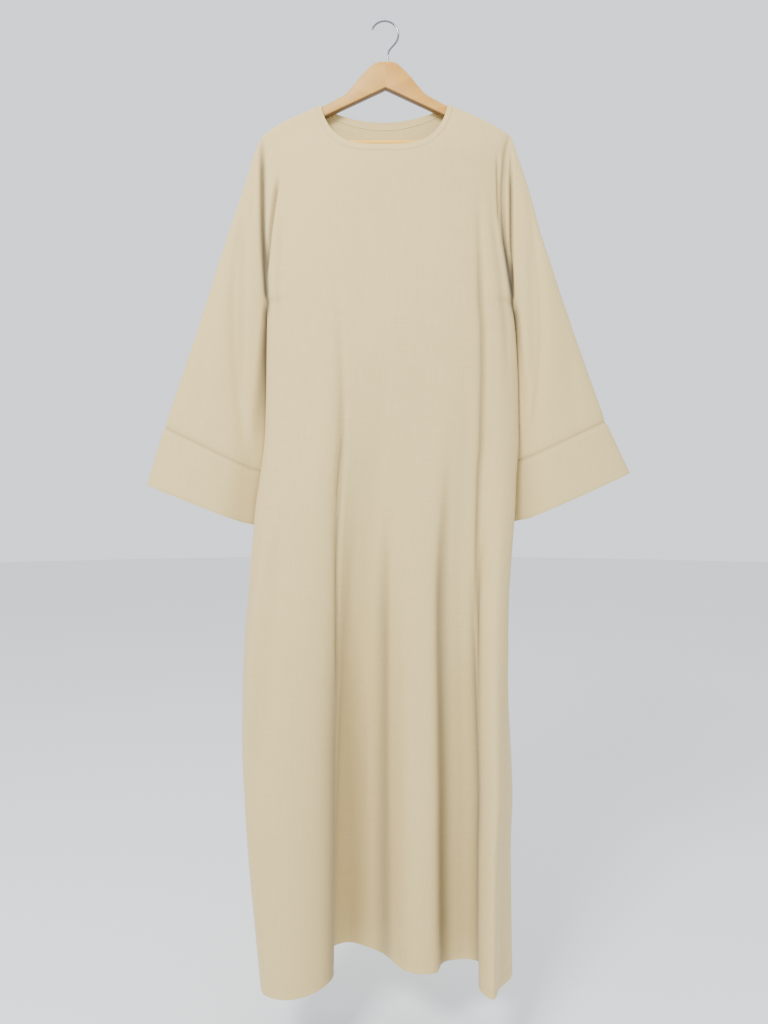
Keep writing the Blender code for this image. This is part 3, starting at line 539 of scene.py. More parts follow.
def placed(name, data):
    piece = bpy.data.objects.new(name, data)
    bpy.context.collection.objects.link(piece)
    return piece


def finishMesh(mesh, material, sharpDegrees):
    mesh.shade_smooth()
    mesh.set_sharp_from_angle(angle=math.radians(sharpDegrees))
    mesh.materials.append(material)


def wallObject(name, outer, inner, uv, closed, material, deep=None):
    # a thin closed wall between two grids of points, with the cloth's own metres as its UV map, and deep as
    # the painted shade at each point
    rows, columns = outer.shape[:2]
    count = rows * columns
    index = np.arange(count).reshape(rows, columns)
    right = np.roll(index, -1, axis=1)
    last = columns if closed else columns - 1
    a, b = index[:-1, :last].ravel(), right[:-1, :last].ravel()
    c, d = right[1:, :last].ravel(), index[1:, :last].ravel()
    faces = [np.stack([a, b, c, d], 1), np.stack([d, c, b, a], 1) + count]
    top, topNext = index[0, :last], right[0, :last]
    low, lowNext = index[-1, :last], right[-1, :last]
    faces.append(np.stack([topNext, top, top + count, topNext + count], 1))
    faces.append(np.stack([low, lowNext, lowNext + count, low + count], 1))
    if not closed:
        for column, flip in ((0, False), (columns - 1, True)):
            upper, lower = index[:-1, column], index[1:, column]
            quad = np.stack([upper, lower, lower + count, upper + count], 1)
            faces.append(quad[:, ::-1] if flip else quad)
    faces = np.concatenate(faces)
    points = np.concatenate([outer.reshape(-1, 3), inner.reshape(-1, 3)])
    mesh = bpy.data.meshes.new(name)
    mesh.from_pydata(points.tolist(), [], faces.tolist())
    mesh.update()
    both = np.concatenate([uv.reshape(-1, 2), uv.reshape(-1, 2)])
    corners = np.zeros(len(mesh.loops), dtype=np.int32)
    mesh.loops.foreach_get("vertex_index", corners)
    layer = mesh.uv_layers.new(name="cloth")
    layer.data.foreach_set("uv", both[corners].astype(np.float32).ravel())
    # the painted shade, stored at each point for the cloth's colour
    shade = np.zeros(count) if deep is None else np.clip(deep.ravel() / crepe["fullShadeDepth"], 0.0, 1.0)
    paintedShade = mesh.attributes.new("paintedShade", "FLOAT", "POINT").data
    paintedShade.foreach_set("value", np.tile(shade, 2).astype(np.float32))
    work = bmesh.new()
    work.from_mesh(mesh)
    if work.calc_volume(signed=True) < 0:
        bmesh.ops.reverse_faces(work, faces=work.faces[:])
    work.to_mesh(mesh)
    work.free()
    finishMesh(mesh, material, crepe["sharpDegrees"])
    return placed(name, mesh)


def clothMetres(grid):
    # each point's distance across and down the cloth
    stepAcross = np.linalg.norm(np.diff(grid, axis=1), axis=2)
    across = np.concatenate([np.zeros((len(grid), 1)), np.cumsum(stepAcross, axis=1)], axis=1)
    middle = across[:, across.shape[1] // 2][:, None]
    stepDown = np.linalg.norm(np.diff(grid, axis=0), axis=2).mean(axis=1)
    down = np.concatenate([[0.0], np.cumsum(stepDown)])[:, None]
    return np.stack([across - middle, np.broadcast_to(down, across.shape)], axis=-1)


seams = {
    "hemGroove": 0.0008,        # the hem's stitches draw in a shallow groove
    "hemGrooveWidth": 0.0016,
    "hemThicker": 0.55,
    "hemStep": 0.0015,
    "sideGroove": 0.0006,       # the side seams, from the chest down
    "sideGrooveWidth": 0.0028,
    "sideAcross": 0.55,         # width of the cloth that the groove is measured on
    "sideFrom": 0.48,
    "sideEase": 0.06,
    "creaseFree": 0.01,         # share at each side edge that the creases leave flat
}


def makePanel(name, side, settings, material):
    grid, shares = panelGrid(side, settings)
    z = grid[..., 2]
    u, v = np.broadcast_arrays(shares * body["panelWidth"], -z)
    depth = creaseDepth(settings["creases"], u, v)
    fromSide = np.minimum(shares, 1 - shares)
    depth = depth * smoothStep(fromSide / seams["creaseFree"])
    toHem = z - body["hemZ"]
    hem = seams["hemGroove"] * bell(toHem - settings["hemDepth"], seams["hemGrooveWidth"])
    seam = seams["sideGroove"] * bell(fromSide * seams["sideAcross"], seams["sideGrooveWidth"])
    seam = seam * smoothStep((v - seams["sideFrom"]) / seams["sideEase"])
    outer = grid - gridNormals(grid, False, side) * (depth + hem + seam)[..., None]
    turnedUp = smoothStep((settings["hemDepth"] - toHem) / seams["hemStep"] + 0.5)
    thick = body["clothThickness"] * (1 + seams["hemThicker"] * turnedUp)
    inner = outer - gridNormals(outer, False, side) * thick[..., None]
    # painted shade in creases, along fold edges and beside the armhole seams
    shade = creaseShade(depth) + creaseDepth(settings["shades"], u, v)
    aboveChest = smoothStep((z - body["chestZ"]) / armholes["panelFade"] + 1)
    for key in ("left", "right"):
        shade = shade + seamShade(key, grid) * aboveChest
    return wallObject(name, outer, inner, clothMetres(grid), False, material, shade)


# each sleeve: along, outer x and z, inner x and z, half depth
sleeves = {
    "sides": 120,
    "rings": 110,
    "foldEnd": 0.86,
    "foldDepth": 0.007,
    "foldWidth": 0.1,
    "foldStart": 0.05,
    "ringCrowding": 1.15,
    "flatness": 0.7,
    "meetingWidth": 4,
    "innerFrom": 0.9,           # from this share across, a sleeve follows the body's edge
    "creaseStart": 0.06,
    "creaseStop": 0.05,
    "roundEdge": 0.006,         # a crease fades within this depth of the sleeve's middle plane
    "left": [
        (0.0, -0.2128, -0.1938, -0.205, -0.47, 0.0088),
        (0.04, -0.2225, -0.2048, -0.2058, -0.483, 0.0092),
        (0.1, -0.2288, -0.226, -0.2066, -0.505, 0.01),
        (0.22, -0.2445, -0.2799, -0.2078, -0.55, 0.012),
        (0.36, -0.2685, -0.3515, -0.2084, -0.6, 0.014),
        (0.7, -0.325, -0.529, -0.2102, -0.698, 0.019),
        (1.0, -0.3794, -0.6899, -0.219, -0.7664, 0.022),
    ],
    "right": [
        (0.0, 0.2048, -0.1908, 0.2105, -0.47, 0.0088),
        (0.04, 0.2135, -0.199, 0.213, -0.482, 0.0092),
        (0.1, 0.221, -0.2245, 0.216, -0.5, 0.01),
        (0.22, 0.238, -0.28, 0.2198, -0.54, 0.012),
        (0.36, 0.259, -0.358, 0.2216, -0.585, 0.014),
        (0.7, 0.3132, -0.522, 0.2232, -0.675, 0.019),
        (1.0, 0.3692, -0.6797, 0.221, -0.7477, 0.022),
    ],
    # start x and z, end x and z, width, depth (ridges negative), on the front (-1) or back (1)
    "leftCreases": [
        ("long soft fold", -0.246, -0.29, -0.25, -0.69, 0.01, 0.0026, -1),
        ("outer soft roll", -0.272, -0.38, -0.296, -0.69, 0.017, -0.0018, -1),
        ("shoulder drag", -0.229, -0.23, -0.233, -0.36, 0.008, 0.0016, -1),
        ("cuff ripple", -0.308, -0.56, -0.324, -0.715, 0.013, 0.0014, -1),
        ("back long fold", -0.25, -0.3, -0.264, -0.7, 0.011, 0.0026, 1),
        ("back outer fold", -0.29, -0.44, -0.324, -0.69, 0.014, 0.002, 1),
    ],
    "rightCreases": [
        ("second inner fold", 0.208, -0.212, 0.2086, -0.54, 0.003, 0.0085, -1),
        ("long soft fold", 0.238, -0.33, 0.244, -0.67, 0.011, 0.0024, -1),
        ("outer soft roll", 0.264, -0.36, 0.29, -0.67, 0.017, -0.0018, -1),
        ("cuff ripple", 0.302, -0.55, 0.318, -0.7, 0.013, 0.0012, -1),
        ("back long fold", 0.242, -0.3, 0.256, -0.69, 0.011, 0.0026, 1),
        ("back outer fold", 0.28, -0.43, 0.314, -0.68, 0.014, 0.002, 1),
    ],
}
cuffs = {
    "rings": 34,
    "left": (-0.4083, -0.787, -0.2313, -0.857, 0.024),
    "right": (0.41, -0.7665, 0.2225, -0.8515, 0.024),
    "tuckLeft": 0.5,            # share of the sleeve's tuck that is left at the cuff's edge
    "proud": 0.0006,            # the doubled cuff stands a little prouder
    "thicker": 1.5,
    "lap": 0.008,               # share of the cuff's depth that lies over the sleeve's end
    "under": 0.0004,            # how far the sleeve's end goes in under it
    "seamDip": 0.0013,          # how far the seam is drawn in, and how far that reaches
    "dipSleeve": 0.012,
    "dipCuff": 0.05,
    "dipFrom": 0.985,           # the dip ends short of the inner edge
    "dipEase": 0.06,
    "seamShade": 0.0034,        # how dark the painted shade at the seam gets, and how far that reaches
    "shadeSleeve": 0.007,
    "shadeCuff": 0.03,
    "edgeRound": 0.0009,        # the folded edge is rounded and thinner
    "edgeFrom": 0.965,
    "thinFrom": 0.975,
}


def sleeveCreases(rows, grid):
    x, y, z = np.moveaxis(grid, -1, 0)
    depth = np.zeros_like(x)
    for row in rows:
        depth += creaseAt(x, z, *row[1:7]) * smoothStep(row[7] * y / sleeves["roundEdge"])
    return depth


def ringShares():
    # round a sleeve: the angle, and the share from its outer to its inner edge
    angle = 2 * math.pi * np.arange(sleeves["sides"]) / sleeves["sides"]
    return angle, (1 - np.cos(angle)) / 2


def shareFrom(start, s):
    return smoothStep((s - start) / (1 - start))


def sleeveGrid(key, sign):
    table = Table(sleeves[key], ["outerX", "outerZ", "innerX", "innerZ", "depth"])
    along = (np.linspace(0.0, 1.0, sleeves["rings"] + 1) ** sleeves["ringCrowding"])[:, None]
    toCuff = 1 - along
    angle, s = ringShares()
    outerX, outerZ, innerX, innerZ, depth = (table.read(name, along) for name in table.columns)
    x = outerX + (innerX - outerX) * s
    z = outerZ + (innerZ - outerZ) * s
    sine = np.sin(angle)
    sine[abs(sine) < 1e-9] = 0.0
    foldAt = sleeves["foldEnd"] * shareFrom(sleeves["foldStart"], along)
    near = bell(s - foldAt, sleeves["foldWidth"])
    edge = levelTable.read(key, z)
    half = abs(sine) ** sleeves["flatness"] * depth
    half = half - near * sleeves["foldDepth"] * along * np.minimum(abs(sine) * 4, 1.0)
    meets = toCuff ** armholes["meetingEnds"] * smoothStep(sleeves["meetingWidth"] * (1 - s))
    y = -np.sign(sine) * (half + (armholeHalf(edge, z) - half) * meets)
    y = y + np.sign(sine) * armholes["lapUnder"] * toCuff ** armholes["lapUnderEnds"]
    x = x + (edge - sign * armholes["lap"] - x) * toCuff ** armholes["lapEnds"]
    x = x + (edge + sign * body["besideGap"] - x) * shareFrom(sleeves["innerFrom"], s)
    y = y * (1 - drawnIn(key, x, z, y))
    tuck = tuckOf(s, z)
    x, y = x - sign * armholes["tuckInward"] * tuck, y + armholes["tuckBack"] * tuck
    return np.stack(np.broadcast_arrays(x, y, z), axis=-1)


def tuckOf(s, z):
    # how far the inner edge of a sleeve or cuff has gone behind the body's
    down = body["chestZ"] + armholes["tuckAbove"] - z
    return shareFrom(armholes["tuckFrom"], s) * smoothStep(down / armholes["tuckEase"])


def dipShare(s):
    return smoothStep((cuffs["dipFrom"] - s) / cuffs["dipEase"])


def makeSleeve(name, key, sign, material):
    grid = sleeveGrid(key, sign)
    z, around = grid[..., 2], ringShares()[1]
    along = np.linspace(0.0, 1.0, len(grid))[:, None]
    toCuff = 1 - along
    depth = sleeveCreases(sleeves[key + "Creases"], grid)
    depth = depth * smoothStep(along / sleeves["creaseStart"]) * smoothStep(toCuff / sleeves["creaseStop"])
    dip = cuffs["seamDip"] * dipShare(around) + cuffs["under"]
    depth = depth + dip * bell(toCuff, cuffs["dipSleeve"])
    outer = grid - gridNormals(grid, True, sign) * depth[..., None]
    through = gridNormals(outer, True, sign)
    through[0, :, 0] = 0.0          # the armhole's edge keeps its own line through the wall
    through[0] /= np.linalg.norm(through[0], axis=1, keepdims=True)
    inner = outer - through * body["clothThickness"]
    # painted shade beside the armhole seam, where the sleeve tucks behind the body, and at the cuff seam
    beside = seamShade(key, grid) * smoothStep((z - body["chestZ"]) / armholes["sleeveFade"])
    shade = creaseShade(depth) + np.maximum(beside, shadeAt(key, z) * tuckOf(around, z))
    shade = shade + cuffs["seamShade"] * bell(toCuff, cuffs["shadeSleeve"])
    return wallObject(name, outer, inner, clothMetres(grid), True, material, shade), grid[-1]


def makeCuff(name, key, sign, seamRing, material):
    outerX, outerZ, innerX, innerZ, depth = cuffs[key]
    s = ringShares()[1]
    x, z = outerX + (innerX - outerX) * s, outerZ + (innerZ - outerZ) * s
    edge = levelTable.read(key, z) + sign * body["besideGap"]
    tuck = tuckOf(s, z)
    x = x + (edge - x) * shareFrom(sleeves["innerFrom"], s)
    x = x - sign * armholes["tuckInward"] * cuffs["tuckLeft"] * tuck
    lower = np.stack([x, seamRing[:, 1] * depth / sleeves[key][-1][-1], z], axis=-1)
    share = np.linspace(0.0, 1.0, cuffs["rings"] + 1)[:, None, None]
    first = seamRing - (lower - seamRing) * cuffs["lap"]
    grid = first + (lower - first) * share
    dip = (cuffs["seamDip"] + cuffs["proud"]) * bell(share, cuffs["dipCuff"])
    rise = (cuffs["proud"] - dip) * dipShare(s)[:, None]
    rise = rise - cuffs["edgeRound"] * shareFrom(cuffs["edgeFrom"], share)
    outer = grid + gridNormals(grid, True, sign) * rise
    thick = body["clothThickness"] * cuffs["thicker"] * (1 - 0.5 * shareFrom(cuffs["thinFrom"], share))
    inner = outer - gridNormals(outer, True, sign) * thick
    # painted shade where the cuff tucks behind the body, and at its seam
    shade = shadeAt(key, z) * tuck + cuffs["seamShade"] * bell(share[..., 0], cuffs["shadeCuff"])
    return wallObject(name, outer, inner, clothMetres(grid), True, material, shade)


neckBand = {
    "frontSteps": 150,
    "backSteps": 120,
    "rows": 9,
    "crown": 0.0002,            # the strip is a little full between its edges
    "edgeDrop": 0.0003,
    "edgeFrom": 0.88,
    "thicker": 1.3,
    "stitchInset": 0.0068,
}


def makeNeckBand(material):
    rings = []
    insets = np.linspace(0.0, body["bandWidth"], neckBand["rows"])
    for inset in insets:
        frontRow = yokePoints(-1, *neckHalf(-1, inset, neckBand["frontSteps"]))[:-1]
        backRow = yokePoints(1, *neckHalf(1, inset, neckBand["backSteps"]))[:0:-1]
        rings.append(np.concatenate([frontRow, backRow]))
    grid = np.array(rings)
    normals = gridNormals(grid, True, -1)
    share = insets[:, None] / body["bandWidth"]
    rise = neckBand["crown"] * np.sin(math.pi * share)
    rise = rise - neckBand["edgeDrop"] * shareFrom(neckBand["edgeFrom"], share)
    outer = grid + normals * rise[..., None]
    inner = outer - normals * body["clothThickness"] * neckBand["thicker"]
    return wallObject("neckBand", outer, inner, clothMetres(grid), True, material)


# shader expressions: one class wraps a socket, so that maths reads as maths
class Expr:
    def __init__(self, tree, socket):
        self.tree, self.socket = tree, socket

    def math(self, operation, *others, flip=False):
        values = [self, *others]
        if flip:
            values = values[::-1]
        return self.tree.add("ShaderNodeMath", {"operation": operation}, dict(enumerate(values)))

    def __add__(self, other): return self.math("ADD", other)
    def __radd__(self, other): return self.math("ADD", other)
    def __sub__(self, other): return self.math("SUBTRACT", other)
    def __rsub__(self, other): return self.math("SUBTRACT", other, flip=True)
    def __mul__(self, other): return self.math("MULTIPLY", other)
    def __rmul__(self, other): return self.math("MULTIPLY", other)
    def clamped(self): return self.math("MAXIMUM", 0.0).math("MINIMUM", 1.0)
    def wave(self): return self.math("SINE") * 0.5 + 0.5


class Finish:
    # one material's tree; add() makes any node from its type, settings and inputs
    def __init__(self, name):
        self.material = bpy.data.materials.new(name)
        self.material.use_nodes = True
        self.nodes, self.links = self.material.node_tree.nodes, self.material.node_tree.links
        self.shader = self.nodes["Principled BSDF"]

    def add(self, kind, settings=None, inputs=None, output=0):
        node = self.nodes.new(kind)
        for key, value in (settings or {}).items():
            setattr(node, key, value)
        for key, value in (inputs or {}).items():
            self.feed(node.inputs[key], value)
        return Expr(self, node.outputs[output])

    def feed(self, socket, value):
        if isinstance(value, Expr):
            self.links.new(value.socket, socket)
        elif isinstance(value, tuple) and len(value) == 3 and socket.type == "RGBA":
            socket.default_value = (*value, 1.0)
        else:
            socket.default_value = value

    def noise(self, place, scale, detail, roughness=0.5):
        inputs = {"Vector": place, "Scale": scale, "Detail": detail, "Roughness": roughness}
        return self.add("ShaderNodeTexNoise", None, inputs)

    def split(self, vector):
        node = self.add("ShaderNodeSeparateXYZ", None, {0: vector}).socket.node
        return [Expr(self, output) for output in node.outputs]

    def join(self, x, y, z):
        return self.add("ShaderNodeCombineXYZ", None, {0: x, 1: y, 2: z})

    def byAttribute(self, name):
        return self.add("ShaderNodeAttribute", {"attribute_name": name}, output=2)

    def bump(self, height, strength, distance):
        return self.add("ShaderNodeBump", None, {"Strength": strength, "Distance": distance, "Height": height})

    def mixColour(self, factor, first, second):
        inputs = {0: factor, 6: first, 7: second}
        return self.add("ShaderNodeMix", {"data_type": "RGBA"}, inputs, output=2)

    def set(self, **inputs):
        for key, value in inputs.items():
            self.feed(self.shader.inputs[key.replace("_", " ")], value)


def makeCrepe():
    f = Finish("crepe")
    uv = f.add("ShaderNodeUVMap", {"uv_map": "cloth"})
    u, v, _ = f.split(uv)
    turn = 2 * math.pi * crepe["threadsPerMetre"]
    wobble = f.noise(uv, 90.0, 2.0) * 3.0
    weave = (u * turn + wobble).wave() * (v * turn * 0.92 + wobble).wave()
    across, along = crepe["warpStreaks"]
    warp = f.noise(f.join(u * across + 3.0, v * along, 0.0), 1.0, 3.0)
    across, along = crepe["weftStreaks"]
    slub = (warp + f.noise(f.join(u * across + 17.0, v * along, 0.0), 1.0, 3.0)) * 0.5
    cloud = f.noise(uv, 5.0, 3.0)
    tone = slub * 1.1 - 0.05 + (weave - 0.25) * 0.15 + (cloud - 0.5) * 0.2
    colour = f.mixColour(tone.clamped(), crepe["dark"], crepe["light"])
    # painted shade in creases and at seams darkens the colour
    deep = f.byAttribute("paintedShade") * crepe["paintedDarkening"]
    f.set(Base_Color=f.mixColour(deep, colour, crepe["deep"]), Roughness=0.88 - slub * 0.12)
    f.set(Normal=f.bump(weave * 0.6 + slub * 0.9, crepe["bump"], 0.00025))
    f.set(Sheen_Weight=crepe["sheen"], Sheen_Roughness=0.45, Specular_IOR_Level=0.25)
    return f.material


thread = {
    "colour": (0.62, 0.53, 0.4),
    "darkColour": (0.5, 0.42, 0.31),
    "radius": 0.00017,
    "length": 0.0024,
    "spacing": 0.0032,
    "sides": 6,
    "neckPoints": (220, 180),   # along the front and the back of the neck
    "hemPoints": 330,
    "hemEnds": 0.012,           # share left without stitches at the side seams
    "neckLift": 0.0004,         # above the cloth
    "hemLift": -0.0003,         # in the hem's groove
}


def makeThreadFinish():
    f = Finish("sewing thread")
    twist = f.noise(f.add("ShaderNodeTexCoord", output=3), 2600.0, 1.0)
    f.set(Base_Color=f.mixColour(twist, thread["darkColour"], thread["colour"]), Roughness=0.75)
    return f.material


wood = {
    "lightPale": (0.61, 0.33, 0.042), "lightDark": (0.49, 0.24, 0.026),
    "warmPale": (0.6, 0.305, 0.03), "warmDark": (0.465, 0.205, 0.016),
    # the bar's wood is painted paler and brighter than the arms', as painted light where the garment shades it
    "barPale": (0.95, 0.54, 0.034), "barDark": (0.82, 0.405, 0.02),
    # painted shade on the arms' undersides
    "underside": (0.045, 0.024, 0.014),
    "grainAcross": 190.0, "grainAlong": 7.0,
    "slope": 0.434,             # of an arm to the level
    "pores": (45.0, 500.0, 1500.0),
    "coat": 0.35,
}


def makeWood(name, key, slope, offset):
    # straight grain runs down the arm
    f = Finish(name)
    pale, dark = wood[key + "Pale"], wood[key + "Dark"]
    place = f.add("ShaderNodeTexCoord", output=3)
    turned = f.add("ShaderNodeMapping", None, {"Vector": place, "Rotation": (0.0, slope, 0.0)})
    x, y, z = f.split(turned)
    across = z * wood["grainAcross"] + f.noise(turned, 14.0, 2.0) * 3.0 + offset
    grain = f.noise(f.join(x * wood["grainAlong"], y * 60.0, across), 1.0, 5.0, 0.6)
    rings = (across * 0.9 + grain * 4.0).wave()
    pores = f.noise(f.join(*(place * scale for place, scale in zip((x, y, z), wood["pores"]))), 1.0, 2.0)
    dots = (pores - 0.6).math("MAXIMUM", 0.0) * 4.0
    colour = f.mixColour((rings * 0.35 + grain * 0.75 - 0.1).clamped(), dark, pale)
    colour = f.mixColour(dots.math("MINIMUM", 1.0) * 0.5, colour, tuple(c * 0.6 for c in dark))
    # painted shade on the underside of the arm
    colour = f.mixColour(f.byAttribute("underside") * 0.8, colour, wood["underside"])
    f.set(Base_Color=colour, Normal=f.bump(grain * 0.4 - dots * 0.5, 0.25, 0.0003))
    f.set(Roughness=0.36 + grain * 0.14, Coat_Weight=wood["coat"], Coat_Roughness=0.22)
    return f.material


chrome = {"colour": (0.22, 0.23, 0.245), "roughness": 0.1, "smear": 0.1}


def makeChrome():
    f = Finish("polished chrome")
    smear = f.noise(f.add("ShaderNodeTexCoord", output=3), 160.0, 3.0)
    f.set(Base_Color=chrome["colour"], Metallic=1.0, Roughness=smear * chrome["smear"] + chrome["roughness"])
    return f.material


print("stage: finishes")
crepeFinish = makeCrepe()
threadFinish = makeThreadFinish()
lightWood = makeWood("light wood", "light", -wood["slope"], 0.0)
warmWood = makeWood("warm wood", "warm", wood["slope"], 9.0)
# a brighter copy of the wood for the bar, as painted light
brightenedBarWood = makeWood("bar wood with painted light", "bar", 0.0, 21.0)
chromeFinish = makeChrome()

print("stage: body of the garment")
frontPiece = makePanel("frontPanel", -1, front, crepeFinish)
backPiece = makePanel("backPanel", 1, back, crepeFinish)
bandPiece = makeNeckBand(crepeFinish)

print("stage: sleeves and cuffs")
leftSleeve, leftRing = makeSleeve("leftSleeve", "left", -1, crepeFinish)
rightSleeve, rightRing = makeSleeve("rightSleeve", "right", 1, crepeFinish)
leftCuff = makeCuff("leftCuff", "left", -1, leftRing, crepeFinish)
rightCuff = makeCuff("rightCuff", "right", 1, rightRing, crepeFinish)


# the hanger: outline of an arm above and below, measured from its middle
hanger = {
    "armEnd": 0.2035,
    "armThickness": 0.0124,
    "topRound": 0.95,           # radii of its section, as shares of half the thickness
    "bottomRound": 0.6,
    "endStep": 0.0008,          # the arm's end is rounded off in two steps
    "endShares": (0.86, 0.62),
    "notchSlope": 0.467,        # of the lower edges where the arms meet
    "bottomShadeFrom": 0.15,          # where round its section an arm's underside gets painted shade
    "bottomShadeEase": 0.45,
    "sharpDegrees": 42,
    "clearance": 0.0006,
    "wall": 0.002,
    "crownZ": -0.0672,
    "barRadius": 0.006,
    "barZ": -0.2068,
    "barHalfLength": 0.1857,
    "sectionCorners": 9,
    "stations": 90,
    "outline": [
        (0.01, -0.0672, -0.1195),
        (0.0185, -0.07, -0.1234),
        (0.029, -0.0791, -0.1283),
        (0.042, -0.0925, -0.1344),
        (0.055, -0.1085, -0.1405),
        (0.069, -0.1234, -0.147),
        (0.084, -0.1318, -0.154),
        (0.098, -0.1395, -0.1606),
        (0.14, -0.1588, -0.1802),
        (0.16, -0.168, -0.19),
        (0.172, -0.1736, -0.206),
        (0.186, -0.18, -0.216),
        (0.196, -0.1846, -0.217),
        (0.201, -0.1885, -0.214),
    ],
}
armTable = Table(hanger["outline"], ["top", "bottom"])


def makeArm(name, sign, material):
    half, end = hanger["armThickness"] / 2, hanger["armEnd"]
    first, last = hanger["outline"][0][0], hanger["outline"][-1][0]
    stations = [(x, 1.0) for x in [0.0, *np.linspace(0.001, last, hanger["stations"])]]
    stations += list(zip((end - hanger["endStep"], end), hanger["endShares"]))
    mesh = bmesh.new()
    under = mesh.verts.layers.float.new("underside")
    rings = []
    for x, shrink in stations:
        inside = min(max(x, first), last)
        top, bottom = float(armTable.read("top", inside)), float(armTable.read("bottom", inside))
        bottom += max(first - x, 0.0) * hanger["notchSlope"]
        if x > body["neckPoint"] - 2 * body["bandWidth"]:
            below = float(ridgeZ(body["middleX"] + sign * x)) - hanger["clearance"]
            top = min(top, below - hanger["wall"] * math.hypot(1.0, body["shoulderSlope"]))
        middle = (top + bottom) / 2
        top, bottom = middle + (top - middle) * shrink, middle + (bottom - middle) * shrink
        ring = []
        topRadius, bottomRadius = half * hanger["topRound"], half * hanger["bottomRound"]
        for centreZ, start, radius in ((top - topRadius, 0.0, topRadius),
                                       (bottom + bottomRadius, math.pi, bottomRadius)):
            for k in range(hanger["sectionCorners"]):
                angle = start + math.pi * k / (hanger["sectionCorners"] - 1)
                y = radius * math.cos(angle) + math.copysign(half - radius, math.cos(angle))
                if k == (hanger["sectionCorners"] - 1) // 2:
                    y = 0.0
                point = (body["middleX"] + sign * x, y * shrink, centreZ + radius * math.sin(angle))
                ring.append(mesh.verts.new(point))
                # the lower half of the section gets painted shade towards its bottom
                down = (math.sin(-angle) - hanger["bottomShadeFrom"]) / hanger["bottomShadeEase"]
                ring[-1][under] = smoothStep(down) if start else 0.0
        rings.append(ring)
    return skinned(name, mesh, rings, material)


def skinned(name, mesh, rings, material):
    # faces between the rings and over both ends
    for one, two in zip(rings, rings[1:]):
        for j in range(len(one)):
            k = (j + 1) % len(one)
            mesh.faces.new([one[j], one[k], two[k], two[j]])
    mesh.faces.new(rings[0][::-1])
    mesh.faces.new(rings[-1])
    bmesh.ops.recalc_face_normals(mesh, faces=mesh.faces[:])
    return finished(name, mesh, material)


def finished(name, mesh, material):
    data = bpy.data.meshes.new(name)
    mesh.to_mesh(data)
    mesh.free()
    finishMesh(data, material, hanger["sharpDegrees"])
    return placed(name, data)


def tubeAlong(name, path, radii, sides, material):
    # a round bar through points in the plane of the hanger, with flat ends
    mesh = bmesh.new()
    rings = []
    for i, (x, z) in enumerate(path):
        before, after = path[max(i - 1, 0)], path[min(i + 1, len(path) - 1)]
        along = math.atan2(after[1] - before[1], after[0] - before[0])
        ring = []
        for k in range(sides):
            angle = 2 * math.pi * k / sides
            out = radii[i] * math.cos(angle)
            point = (x - out * math.sin(along), radii[i] * math.sin(angle), z + out * math.cos(along))
            ring.append(mesh.verts.new(point))
        rings.append(ring)
    return skinned(name, mesh, rings, material)


hook = {
    "wireRadius": 0.00165,
    "innerRadius": 0.0215,
    "middleX": -0.0055,
    "shankDepth": 0.02,
    "tipDegrees": 156,          # the round part, from the open end to where it leaves for the shank
    "leaveDegrees": -36,
    "stepDegrees": -4,
    "bendReach": 0.011,         # how far both ends pull the bend below it
    "bendEnd": 0.01,            # above the wood
    "bendSteps": 18,
    "tipRound": 0.001,
    "tipShares": (0.55, 0.86),
}


def makeHook():
    wire, radius = hook["wireRadius"], hook["innerRadius"] + hook["wireRadius"]
    middleZ = -math.sqrt(hook["innerRadius"] ** 2 - hook["middleX"] ** 2)

    def onCircle(turn):
        return hook["middleX"] + radius * math.cos(turn), middleZ + radius * math.sin(turn)

    degrees = range(hook["tipDegrees"], hook["leaveDegrees"] - 1, hook["stepDegrees"])
    path = [onCircle(math.radians(d)) for d in degrees]
    start, end = np.array(path[-1]), np.array([0.0, hanger["crownZ"] + hook["bendEnd"]])
    away = math.radians(hook["leaveDegrees"])
    leave = start + hook["bendReach"] * np.array([math.sin(away), -math.cos(away)])
    arrive = end + np.array([0.0, hook["bendReach"]])
    for s in np.linspace(0.0, 1.0, hook["bendSteps"] + 1)[1:]:
        point = (1 - s)**3 * start + 3*s*(1 - s)**2 * leave + 3*s*s*(1 - s) * arrive + s**3 * end
        path.append(tuple(point))
    path += [(0.0, hanger["crownZ"]), (0.0, hanger["crownZ"] - hook["shankDepth"])]
    radii = [wire] * len(path)
    for k, share in enumerate(hook["tipShares"]):      # the open end is rounded off
        turn = math.radians(hook["tipDegrees"]) + (1 - k / 2) * hook["tipRound"] / radius
        path.insert(k, onCircle(turn))
        radii.insert(k, wire * share)
    return tubeAlong("wireHook", path, radii, 20, chromeFinish)


print("stage: hanger")
leftArm = makeArm("leftArm", -1, lightWood)
rightArm = makeArm("rightArm", 1, warmWood)
barShares = (-1, -0.97, -0.5, 0, 0.5, 0.97, 1)
barPath = [(body["middleX"] + share * hanger["barHalfLength"], hanger["barZ"]) for share in barShares]
barPiece = tubeAlong("trouserBar", barPath, [hanger["barRadius"]] * len(barPath), 28, brightenedBarWood)
hookPiece = makeHook()


